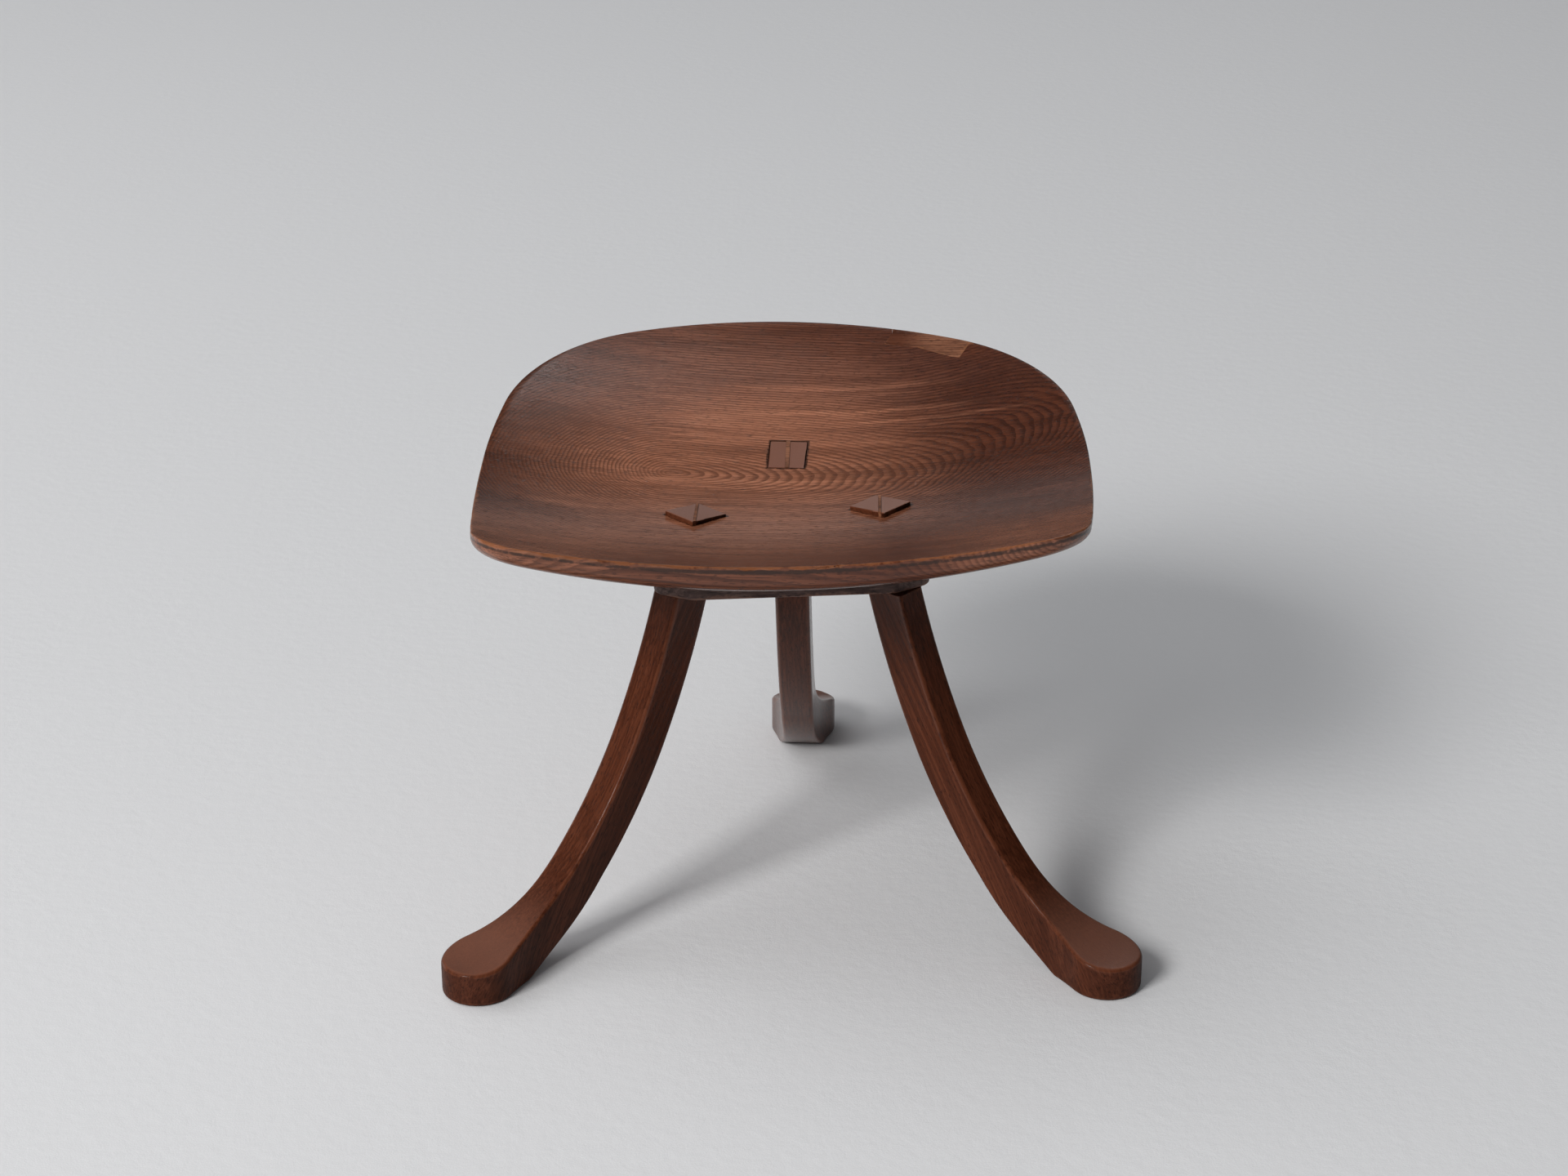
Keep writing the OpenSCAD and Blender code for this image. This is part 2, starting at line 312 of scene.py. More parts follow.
def linear(red: int, green: int, blue: int) -> Colour:
    """Linear colour of an sRGB one.

    Args:
        red: Red, in steps of 255.
        green: Green, likewise.
        blue: Blue, likewise.

    Returns:
        The linear colour.
    """
    parts = [v / 255 for v in (red, green, blue)]
    r, g, b = (c / 12.92 if c <= 0.04045 else ((c + 0.055) / 1.055) ** 2.4 for c in parts)
    return r, g, b


class Value:
    """A number or colour at each place of a material, to be reckoned with like a plain number."""

    def __init__(self, nodes: "Nodes", socket: bpy.types.NodeSocket) -> None:
        """Keeps the output that the value comes from."""
        self.nodes = nodes
        self.socket = socket

    def __add__(self, other: "Number") -> "Value":
        """Sum of two values."""
        return self.nodes.math("ADD", self, other)

    def __sub__(self, other: "Number") -> "Value":
        """Difference of two values."""
        return self.nodes.math("SUBTRACT", self, other)

    def __rsub__(self, other: float) -> "Value":
        """Difference of a plain number and a value."""
        return self.nodes.math("SUBTRACT", other, self)

    def __mul__(self, other: "Number") -> "Value":
        """Product of two values."""
        return self.nodes.math("MULTIPLY", self, other)

    def __truediv__(self, other: "Number") -> "Value":
        """Quotient of two values."""
        return self.nodes.math("DIVIDE", self, other)

    def __abs__(self) -> "Value":
        """Size of a value without its sign."""
        return self.nodes.math("ABSOLUTE", self)

    __radd__ = __add__
    __rmul__ = __mul__


Number = Value | float
Paint = Value | Colour


class Figure(Enum):
    """Figures in the wood.

    Each holds its repeats per metre along the grain, across it and into the depth, then its
    detail and its roughness.
    """

    WARP = ((4.0, 14.0, 14.0), 2.0, 0.55)
    FADE = ((12.0, 20.0, 20.0), 2.0, 0.55)
    STREAK = ((7.0, 560.0, 560.0), 5.0, 0.6)
    CLOUD = ((4.0, 60.0, 60.0), 3.0, 0.55)
    FIBRE = ((16.0, 1500.0, 1500.0), 2.0, 0.55)
    PORE = ((200.0, 1000.0, 1000.0), 2.0, 0.5)
    WANDER = ((8.0, 3.0, 3.0), 2.0, 0.55)
    SWELL = ((10.0, 26.0, 26.0), 2.0, 0.55)
    RIPPLE = ((24.0, 75.0, 40.0), 1.0, 0.55)


class Spots(Enum):
    """Uneven spots that don't follow the grain: repeats per metre, detail and roughness."""

    SPECK = (320.0, 4.0, 0.7)
    BLOT = (55.0, 3.0, 0.55)
    SMEAR = (26.0, 4.0, 0.6)
    DENT = (60.0, 3.0, 0.55)


class Nodes:
    """Short ways to add and join shader nodes in one material."""

    def __init__(self, name: str) -> None:
        """Starts an empty node material.

        Args:
            name: Name of the material.
        """
        self.material = bpy.data.materials.new(name)
        self.material.use_nodes = True
        self.tree = self.material.node_tree
        self.tree.nodes.clear()

    def add(self, kind: str, **settings: object) -> bpy.types.Node:
        """Adds a node.

        Args:
            kind: Type of the node.
            settings: Its settings by name.

        Returns:
            The node.
        """
        node = self.tree.nodes.new(kind)
        for key, value in settings.items():
            setattr(node, key, value)
        return node

    def feed(self, node: bpy.types.Node, key: int | str, value: object) -> None:
        """Sets an input of a node, or joins a value to it.

        Args:
            node: The node.
            key: Number or name of the input.
            value: What goes in, or None to leave it.
        """
        if isinstance(value, Value):
            self.tree.links.new(value.socket, node.inputs[key])
        elif value is not None:
            node.inputs[key].default_value = value

    def math(self, operation: str, a: Number, b: Number | None = None) -> Value:
        """Adds a math node.

        Args:
            operation: What it does.
            a: Its first number.
            b: Its second number, if it has one.

        Returns:
            The outcome.
        """
        node = self.add("ShaderNodeMath", operation=operation)
        self.feed(node, 0, a)
        self.feed(node, 1, b)
        return Value(self, node.outputs[0])

    def hypot(self, a: Value, b: Value) -> Value:
        """Root of the sum of two squares."""
        return self.math("SQRT", a * a + b * b)

    def split(self, value: Value, above: float, below: float) -> Value:
        """Divides a value by one number where it is above 0 and by another where it is below.

        Args:
            value: The value.
            above: What it is divided by above 0.
            below: What it is divided by below 0.

        Returns:
            The outcome.
        """
        return self.math("MAXIMUM", value, 0.0) / above + self.math("MINIMUM", value, 0.0) / below

    def place(self) -> Value:
        """Gives the place on the object, in metres from the stool's origin."""
        return Value(self, self.add("ShaderNodeTexCoord").outputs["Object"])

    def mapped(self, vector: Value, scale: Place, turn: Place = (0.0, 0.0, 0.0),
               shift: Place = (0.0, 0.0, 0.0)) -> Value:
        """Shifts and turns a vector back, then stretches it.

        Args:
            vector: The vector.
            scale: Stretch along each direction.
            turn: Turn of the new directions, in radians.
            shift: Place of the new origin.

        Returns:
            The vector in the new directions.
        """
        first = self.add("ShaderNodeMapping", vector_type="TEXTURE")
        self.feed(first, "Vector", vector)
        self.feed(first, "Location", shift)
        self.feed(first, "Rotation", turn)
        second = self.add("ShaderNodeVectorMath", operation="MULTIPLY")
        self.feed(second, 0, Value(self, first.outputs[0]))
        self.feed(second, 1, scale)
        return Value(self, second.outputs[0])

    def noise(self, vector: Value, scale: float, detail: float, rough: float = 0.55) -> Value:
        """Adds a noise texture.

        Args:
            vector: Place in the texture.
            scale: Repeats per unit of the vector.
            detail: Number of finer layers.
            rough: Weight of the finer layers.

        Returns:
            Its value.
        """
        node = self.add("ShaderNodeTexNoise", noise_dimensions="3D")
        self.feed(node, "Vector", vector)
        self.feed(node, "Scale", scale)
        self.feed(node, "Detail", detail)
        self.feed(node, "Roughness", rough)
        return Value(self, node.outputs["Fac"])

    def figure(self, grain: Value, figure: Figure) -> Value:
        """Adds a figure of the wood.

        Args:
            grain: Place in the wood, with the grain along X.
            figure: The figure.

        Returns:
            Its value.
        """
        scale, detail, rough = figure.value
        return self.noise(self.mapped(grain, scale), 1.0, detail, rough)

    def spots(self, place: Value, kind: Spots) -> Value:
        """Adds uneven spots."""
        return self.noise(place, *kind.value)

    def ramp(self, value: Number, low: float, high: float, soft: bool = True) -> Value:
        """Spreads a value over 0 to 1.

        Args:
            value: The value.
            low: What becomes 0.
            high: What becomes 1.
            soft: Whether it starts and ends softly.

        Returns:
            The outcome, held between 0 and 1.
        """
        kind = "SMOOTHSTEP" if soft else "LINEAR"
        node = self.add("ShaderNodeMapRange", interpolation_type=kind)
        self.feed(node, "Value", value)
        self.feed(node, "From Min", low)
        self.feed(node, "From Max", high)
        return Value(self, node.outputs[0])

    def mix(self, amount: Number, a: Paint, b: Paint, blend: str = "MIX") -> Value:
        """Mixes two colours.

        Args:
            amount: Share of the second.
            a: First colour.
            b: Second colour.
            blend: How they are mixed.

        Returns:
            The mixed colour.
        """
        node = self.add("ShaderNodeMix", data_type="RGBA", blend_type=blend)
        self.feed(node, 0, amount)
        self.feed(node, 6, (*a, 1.0) if isinstance(a, tuple) else a)
        self.feed(node, 7, (*b, 1.0) if isinstance(b, tuple) else b)
        return Value(self, node.outputs[2])

    def parts(self, vector: Value) -> tuple[Value, Value, Value]:
        """Splits a vector into its three parts.

        Args:
            vector: The vector.

        Returns:
            Its parts along X, Y and Z.
        """
        node = self.add("ShaderNodeSeparateXYZ")
        self.feed(node, 0, vector)
        x, y, z = (Value(self, socket) for socket in node.outputs)
        return x, y, z

    def attribute(self, name: str) -> Value:
        """Gives a number stored on the mesh."""
        node = self.add("ShaderNodeAttribute", attribute_type="GEOMETRY", attribute_name=name)
        return Value(self, node.outputs["Fac"])

    def finish(self, colour: Paint, rough: Number, height: Number, bump: float, coat: float,
               specular: float) -> bpy.types.Material:
        """Ends the material with one surface shader.

        Args:
            colour: Base colour.
            rough: Roughness.
            height: Height for the bump, in millimetres.
            bump: Strength of the bump.
            coat: Weight of the wax coat.
            specular: Specular level of the surface under the wax.

        Returns:
            The material.
        """
        lift = self.add("ShaderNodeBump")
        self.feed(lift, "Strength", bump)
        self.feed(lift, "Distance", MM)
        self.feed(lift, "Height", height)
        surface = self.add("ShaderNodeBsdfPrincipled")
        self.feed(surface, "Base Color", colour)
        self.feed(surface, "Roughness", rough)
        self.feed(surface, "Normal", Value(self, lift.outputs[0]))
        surface.inputs["Coat Weight"].default_value = coat
        surface.inputs["Coat Roughness"].default_value = COAT_ROUGH
        surface.inputs["Specular IOR Level"].default_value = specular
        output = self.add("ShaderNodeOutputMaterial")
        self.tree.links.new(surface.outputs[0], output.inputs[0])
        return self.material


# Where each share of the wood's figure, wear, dirt and painted light and shade starts and is in full.
PORE_SPAN = (0.56, 0.67)
FADE_SPAN = (0.32, 0.62)
LATE_SPAN = (0.25, 0.85)
EARLY_SPAN = (0.88, 1.0)
MID_SPAN = (0.38, 0.62)
LIGHT_SPAN = (0.58, 0.80)
RUBBED_AND_LIT_SPAN = (0.5, 0.95)
SOILED_AND_SHADED_SPAN = (0.25, 0.75)
SMEAR_SPAN = (0.3, 0.7)

# Shares of the dark wood's colour that pores, and dirt with painted shade, have.
PORE_SHARE = 0.4
SOIL_AND_SHADE_SHARE = 0.12


@dataclass(frozen=True)
class WoodFinish:
    """A stained, waxed and worn wood whose grain runs straight along one direction.

    Attributes:
        name: Name of the finish.
        dark: Colour of the latewood.
        mid: Colour between.
        light: Colour of the earlywood.
        worn_and_lit: Colour where the stain has come off, also used as painted light on a tenon's lit
            side.
        turn: Turn of the grain, in radians, from the object's X.
        ring_gap: Distance between growth rings, in millimetres.
        ring_lean: How much of the depth counts toward the rings.
        ring_warp: How many rings the wobble is worth.
        ring_depth: How much darker a ring's late part is.
        streak_depth: How strongly the fibres streak the colour.
        fibre_depth: How strongly the finest fibres do.
        pore_depth: How dark the pores are.
        soil_and_shade_depth: How dark dirt and painted shade are.
        rough: Lowest and highest roughness.
        bump: Strength of the bump.
        coat: Weight of the wax.
        specular: Specular level of the wood under the wax.
        seed: Shift of the noise.
        rub_and_lit: How much of the stain is off where the wood is scuffed, and how strong a tenon's
            painted light is.
        sawn_end_and_reflection_tone: Colour of the end grain where a tenon was sawn off, also used as
            a painted reflection on the feet's upper sides.
        unpolished_and_shaded: Share of the colour that is left where use hasn't lightened the wood;
            on the seat this darkening is partly painted shade.
        unpolished_and_shaded_tone: How that share differs between red, green and blue.
    """

    name: str
    dark: Colour
    mid: Colour
    light: Colour
    worn_and_lit: Colour
    turn: Place = (0.0, 0.0, 0.0)
    ring_gap: float = 3.0
    ring_lean: float = 0.35
    ring_warp: float = 9.0
    ring_depth: float = 0.10
    streak_depth: float = 0.75
    fibre_depth: float = 0.22
    pore_depth: float = 0.6
    soil_and_shade_depth: float = 0.85
    rough: Point = (0.38, 0.6)
    bump: float = 0.4
    coat: float = 0.08
    specular: float = 0.22
    seed: float = 0.0
    rub_and_lit: float = 0.8
    sawn_end_and_reflection_tone: Colour = (0.21, 0.092, 0.062)
    unpolished_and_shaded: float = 0.27
    unpolished_and_shaded_tone: Colour = (1.0, 0.70, 0.55)

    @property
    def shift(self) -> Place:
        """Place in the block of wood that the piece was cut from, in metres."""
        return self.seed * 0.13, self.seed * 0.07, self.seed * 0.05

    def rings(self, n: Nodes, grain: Value) -> Value:
        """Counts the growth rings at a place, with their wobble.

        Args:
            n: The material's nodes.
            grain: Place in the wood, with the grain along X.

        Returns:
            The count.
        """
        _, across, deep = n.parts(grain)
        count = (across + deep * self.ring_lean) * (1000 / self.ring_gap)
        return count + n.figure(grain, Figure.WARP) * self.ring_warp

    def polish_and_painted_light(self, n: Nodes, grain: Value) -> Value | None:
        """Gives how far use has lightened the wood at a place, with any painted light and shade, or
        nothing where it is even.
        """
        return None

    def soil_and_painted_shade(self, n: Nodes, grain: Value) -> Value:
        """Gives the dirt at a place, with painted shade on a tenon's shaded side."""
        return n.attribute("grime_and_painted_shade")

    def stain(self, n: Nodes, grain: Value, streak: Value, pores: Value) -> Value:
        """Mixes the colour of the stained wood, before use.

        Args:
            n: The material's nodes.
            grain: Place in the wood, with the grain along X.
            streak: The streaks of its fibres.
            pores: Its pores.

        Returns:
            The colour.
        """
        part = n.math("FRACT", self.rings(n, grain))
        fade = n.ramp(n.figure(grain, Figure.FADE), *FADE_SPAN)
        ring = n.ramp(part, *LATE_SPAN) * (1.0 - n.ramp(part, *EARLY_SPAN)) * (fade * 0.5 + 0.5)
        cloud = n.figure(grain, Figure.CLOUD)
        tone = streak * self.streak_depth + cloud * (1.2 - self.streak_depth)
        tone = tone + (n.figure(grain, Figure.FIBRE) - 0.5) * self.fibre_depth
        tone = tone - ring * self.ring_depth
        colour = n.mix(n.ramp(tone, *MID_SPAN, soft=False), self.dark, self.mid)
        colour = n.mix(n.ramp(tone, *LIGHT_SPAN, soft=False), colour, self.light)
        return n.mix(pores * self.pore_depth, colour, tuple(c * PORE_SHARE for c in self.dark))

    def material(self) -> bpy.types.Material:
        """Builds the node material: stain, use with painted light and shade, sawn ends with a painted
        reflection, scuffed edges with painted light, dirt with painted shade, in turn.

        Returns:
            The material.
        """
        n = Nodes(self.name)
        place = n.place()
        grain = n.mapped(place, UNIT, self.turn, self.shift)
        streak = n.figure(grain, Figure.STREAK)
        pores = n.ramp(n.figure(grain, Figure.PORE), *PORE_SPAN)
        colour = self.stain(n, grain, streak, pores)
        light = self.polish_and_painted_light(n, grain)
        if light is not None:
            # on the seat, the lightening is partly painted sheen and the darkening around it partly
            # painted shade on the dish's sides and back
            least = tuple(c * self.unpolished_and_shaded for c in self.unpolished_and_shaded_tone)
            colour = n.mix(1.0, colour, n.mix(light, least, UNIT), "MULTIPLY")
        colour = n.mix(n.attribute("cap"), colour, self.sawn_end_and_reflection_tone)
        uneven = n.spots(place, Spots.SPECK) * 0.7 + n.spots(place, Spots.BLOT) * 0.9 - 0.8
        patchy = uneven * 3.0 + 1.0
        # scuffed edges, and painted light on the lit side of a tenon
        rubbed_and_lit = n.ramp(n.attribute("wear_and_painted_light") * patchy, *RUBBED_AND_LIT_SPAN)
        colour = n.mix(rubbed_and_lit * self.rub_and_lit, colour, self.worn_and_lit)
        # dirt, and painted shade on the shaded side of a tenon
        soiled_and_shaded = n.ramp(self.soil_and_painted_shade(n, grain) * patchy, *SOILED_AND_SHADED_SPAN)
        dirt_and_shade = tuple(c * SOIL_AND_SHADE_SHARE for c in self.dark)
        colour = n.mix(soiled_and_shaded * self.soil_and_shade_depth, colour, dirt_and_shade)
        smear = n.ramp(n.spots(place, Spots.SMEAR), *SMEAR_SPAN)
        low, high = self.rough
        rough = smear * (high - low) + low + pores * 0.02
        height = streak * 0.25 - pores * 0.10 + n.spots(place, Spots.DENT) * 0.2
        return n.finish(colour, rough, height, self.bump, self.coat, self.specular)


@dataclass(frozen=True)
class PaleBand:
    """A paler band along the seat's grain, in millimetres in the seat's own directions.

    Attributes:
        middle: Its middle, from front to back.
        half: Half its width.
        left: Its left end.
        right: Its right end.
    """

    middle: float
    half: float
    left: float
    right: float


@dataclass(frozen=True)
class SeatFinish(WoodFinish):
    """The seat's wood, whose rings show as long ovals round an eye left of the middle.

    Attributes:
        eye: Middle of the innermost oval, in millimetres in the seat's own directions.
        left_reach: Reach of the outermost counted ring to the left.
        right_reach: Its reach to the right.
        back_reach: Its reach to the back.
        front_reach: Its reach to the front.
        rise: How far the ovals' right ends lie behind the eye.
        count: Number of rings up to there.
        polished_and_lit_middle: Middle of the place that sitting and painted sheen lighten most.
        polished_and_lit_reach: How far that place reaches to the sides and to front and back; beyond
            it the dish is painted in shade.
        bands: Paler bands along the grain.
        legs: The legs, whose tenons come through the seat.
    """

    eye: Point = (-80.0, 20.0)
    left_reach: float = 95.0
    right_reach: float = 265.0
    back_reach: float = 105.0
    front_reach: float = 90.0
    rise: float = 75.0
    count: float = 33.0
    polished_and_lit_middle: Point = (-38.0, 24.0)
    polished_and_lit_reach: Point = (190.0, 235.0)
    bands: tuple[PaleBand, ...] = (
        PaleBand(112.0, 5.0, -70.0, 150.0),
        PaleBand(142.0, 6.0, -60.0, 130.0),
        PaleBand(98.0, 3.0, -10.0, 190.0),
        PaleBand(-48.0, 6.0, -185.0, -60.0),
    )
    legs: tuple["Leg", ...] = ()

    @property
    def shift(self) -> Place:
        """Place of the middle of the leg tops, in metres."""
        return SET.middle_x * MM, SET.middle_y * MM, 0.0

    def polish_and_painted_light(self, n: Nodes, grain: Value) -> Value:
        """Gives how far sitting has lightened the wood, with painted sheen and painted shade.

        Args:
            n: The material's nodes.
            grain: Place in the wood, with the grain along X.

        Returns:
            The lightening, most left of the middle, where it is partly painted sheen, and least at
            the sides and back, where it is partly painted shade.
        """
        across, along, _ = n.parts(n.mapped(grain, PER_METRE))
        reach = n.hypot(
            (across - self.polished_and_lit_middle[0]) / self.polished_and_lit_reach[0],
            (along - self.polished_and_lit_middle[1]) / self.polished_and_lit_reach[1],
        )
        reach = reach + (n.noise(grain, 9.0, 2.0) - 0.5) * 0.2
        # partly painted sheen in the middle and painted shade toward the dish's sides and back
        light = 1.0 - n.ramp(reach, 0.2, 1.0)
        # the front corners are paler again, partly painted sheen
        corner = n.ramp(abs(across), 70.0, 150.0) * (1.0 - n.ramp(along, -135.0, -50.0))
        light = light + corner * 0.6
        wandered = along + n.figure(grain, Figure.WANDER) * 16.0
        for band in self.bands:
            streak = 1.0 - n.ramp(abs(wandered - (band.middle + 8.0)), 0.0, band.half)
            streak = streak * n.ramp(across, band.left, band.left + 50.0)
            streak = streak * (1.0 - n.ramp(across, band.right - 60.0, band.right))
            light = light + streak * 0.5
        return light

    def soil_and_painted_shade(self, n: Nodes, grain: Value) -> Value:
        """Gives the dirt under the rim and in the joints round the tenons.

        Args:
            n: The material's nodes.
            grain: Not used.

        Returns:
            The dirt, from 0 to 1.
        """
        most = n.attribute("grime_and_painted_shade")
        for leg in self.legs:
            ring = np.array(leg.post_ring(leg.end_z - leg.proud, 0.0, 0.0))
            low, high = ring.min(axis=0), ring.max(axis=0)
            middle, half = (low + high) / 2, (high - low) / 2
            mid = leg.to_plan(float(middle[0]), float(middle[1]))
            at = ((mid[0] + SET.middle_x) * MM, (mid[1] + SET.middle_y) * MM, 0.0)
            turn = (0.0, 0.0, math.radians(leg.turn))
            x, y, _ = n.parts(n.mapped(n.place(), PER_METRE, turn, at))
            off = n.math("MAXIMUM", abs(x) - float(half[0]), abs(y) - float(half[1]))
            most = n.math("MAXIMUM", most, 1.0 - n.ramp(off, 0.2, 2.6, soft=False))
        return most

    def rings(self, n: Nodes, grain: Value) -> Value:
        """Counts the growth rings at a place, as ovals round the eye.

        Args:
            n: The material's nodes.
            grain: Place in the wood, with the grain along X.

        Returns:
            The count.
        """
        across, along, up = n.parts(n.mapped(grain, PER_METRE))
        spine = n.ramp(across, 60.0, 230.0) * self.rise + self.eye[1]
        reach = n.hypot(
            n.split(across - self.eye[0], self.right_reach, self.left_reach),
            n.split(along - spine, self.back_reach, self.front_reach),
        )
        count = reach * self.count + n.figure(grain, Figure.SWELL) * 3.0
        return count + n.figure(grain, Figure.RIPPLE) * 0.45 + up * 0.12


@dataclass(frozen=True)
class PatchFinish(WoodFinish):
    """The let-in piece's wood, which is plainly paler only toward its right end."""

    def polish_and_painted_light(self, n: Nodes, grain: Value) -> Value:
        """Gives how pale the piece is: most at the right end by the joint.

        Args:
            n: The material's nodes.
            grain: Not used.

        Returns:
            The lightening.
        """
        across, along, _ = n.parts(n.mapped(n.place(), PER_METRE))
        return n.ramp(across, 74.0, 108.0) * (1.0 - n.ramp(along, 158.0, 190.0) * 0.45)


def store(piece: Piece, name: str, values: np.ndarray) -> None:
    """Stores one number for each point of a mesh.

    Args:
        piece: The piece.
        name: Name of the number.
        values: The numbers, which are held between 0 and 1.
    """
    spot = piece.data.attributes.new(name, "FLOAT", "POINT")
    spot.data.foreach_set("value", np.clip(values, 0, 1).astype(np.float32))


def points_of(piece: Piece) -> np.ndarray:
    """Reads the points of a mesh.

    Args:
        piece: The piece.

    Returns:
        Its points in millimetres about the middle of the leg tops, one per row.
    """
    points = np.zeros(len(piece.data.vertices) * 3, np.float32)
    piece.data.vertices.foreach_get("co", points)
    return points.reshape(-1, 3) / MM - SET.middle


def edge_wear(piece: Piece) -> np.ndarray:
    """Finds how sharply a mesh bends outwards.

    Args:
        piece: The piece.

    Returns:
        The bend at each point, where 1 stands for 15 degrees.
    """
    mesh = piece.data
    sides: dict[int, list[int]] = {}
    for face in mesh.polygons:
        for loop in face.loop_indices:
            sides.setdefault(mesh.loops[loop].edge_index, []).append(face.index)
    wear_and_painted_light = np.zeros(len(mesh.vertices))
    for edge in mesh.edges:
        pair = sides.get(edge.index, [])
        if len(pair) != 2:
            continue
        one, two = mesh.polygons[pair[0]], mesh.polygons[pair[1]]
        hollow = (two.center - one.center).dot(one.normal) >= 0
        if hollow or one.area < 1e-10 or two.area < 1e-10:
            continue
        bend = math.degrees(one.normal.angle(two.normal, 0.0)) / 15
        for v in edge.vertices:
            wear_and_painted_light[v] = max(wear_and_painted_light[v], bend)
    return wear_and_painted_light


def dress(piece: Piece, node: str, finish: WoodFinish) -> None:
    """Gives a piece its finish and body, and hides the part of the construction that it stands for.

    Args:
        piece: The piece.
        node: Node of the construction that it stands for.
        finish: Its finish.
    """
    mesh = piece.data
    mesh.materials.clear()
    mesh.materials.append(finish.material())
    mesh.polygons.foreach_set("use_smooth", [True] * len(mesh.polygons))
    mesh.set_sharp_from_angle(angle=CREASE)
    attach(piece, ROOT)
    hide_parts(node)
    LOG.info("%s: %d points, stands for %s", piece.name, len(mesh.vertices), node)


@dataclass(frozen=True)
class Dish:
    """A surface of revolution about a level line: a hollow that is flatter across than along.

    Attributes:
        across_r: Radius from left to right.
        along_r: Radius from front to back.
        low: Height of the lowest point.
        x: Lowest point along X.
        y: Lowest point along Y.
        turn: Turn of the hollow within the seat, in degrees.
    """

    across_r: float
    along_r: float
    low: float
    x: float = -12.5
    y: float = -21.0
    turn: float = 10.5

    def height(self, x: np.ndarray | float, y: np.ndarray | float) -> np.ndarray:
        """Height of the surface.

        Args:
            x: Places along X, in the seat's own directions.
            y: Places along Y.

        Returns:
            The heights.
        """
        c, s = math.cos(math.radians(self.turn)), math.sin(math.radians(self.turn))
        u = (x - self.x) * c + (y - self.y) * s
        v = (y - self.y) * c - (x - self.x) * s
        ring = self.along_r - self.across_r + np.sqrt(self.across_r**2 - np.square(u))
        return self.low + self.along_r - np.sqrt(ring**2 - np.square(v))

    def over(self, plan: np.ndarray) -> np.ndarray:
        """Heights of the surface over plan points, one per row."""
        return self.height(plan[:, 0], plan[:, 1])


SEAT_TOP = Dish(1000.0, 640.0, SET.dish_z)
SEAT_UNDER = Dish(750.0, 550.0, SET.under_z)


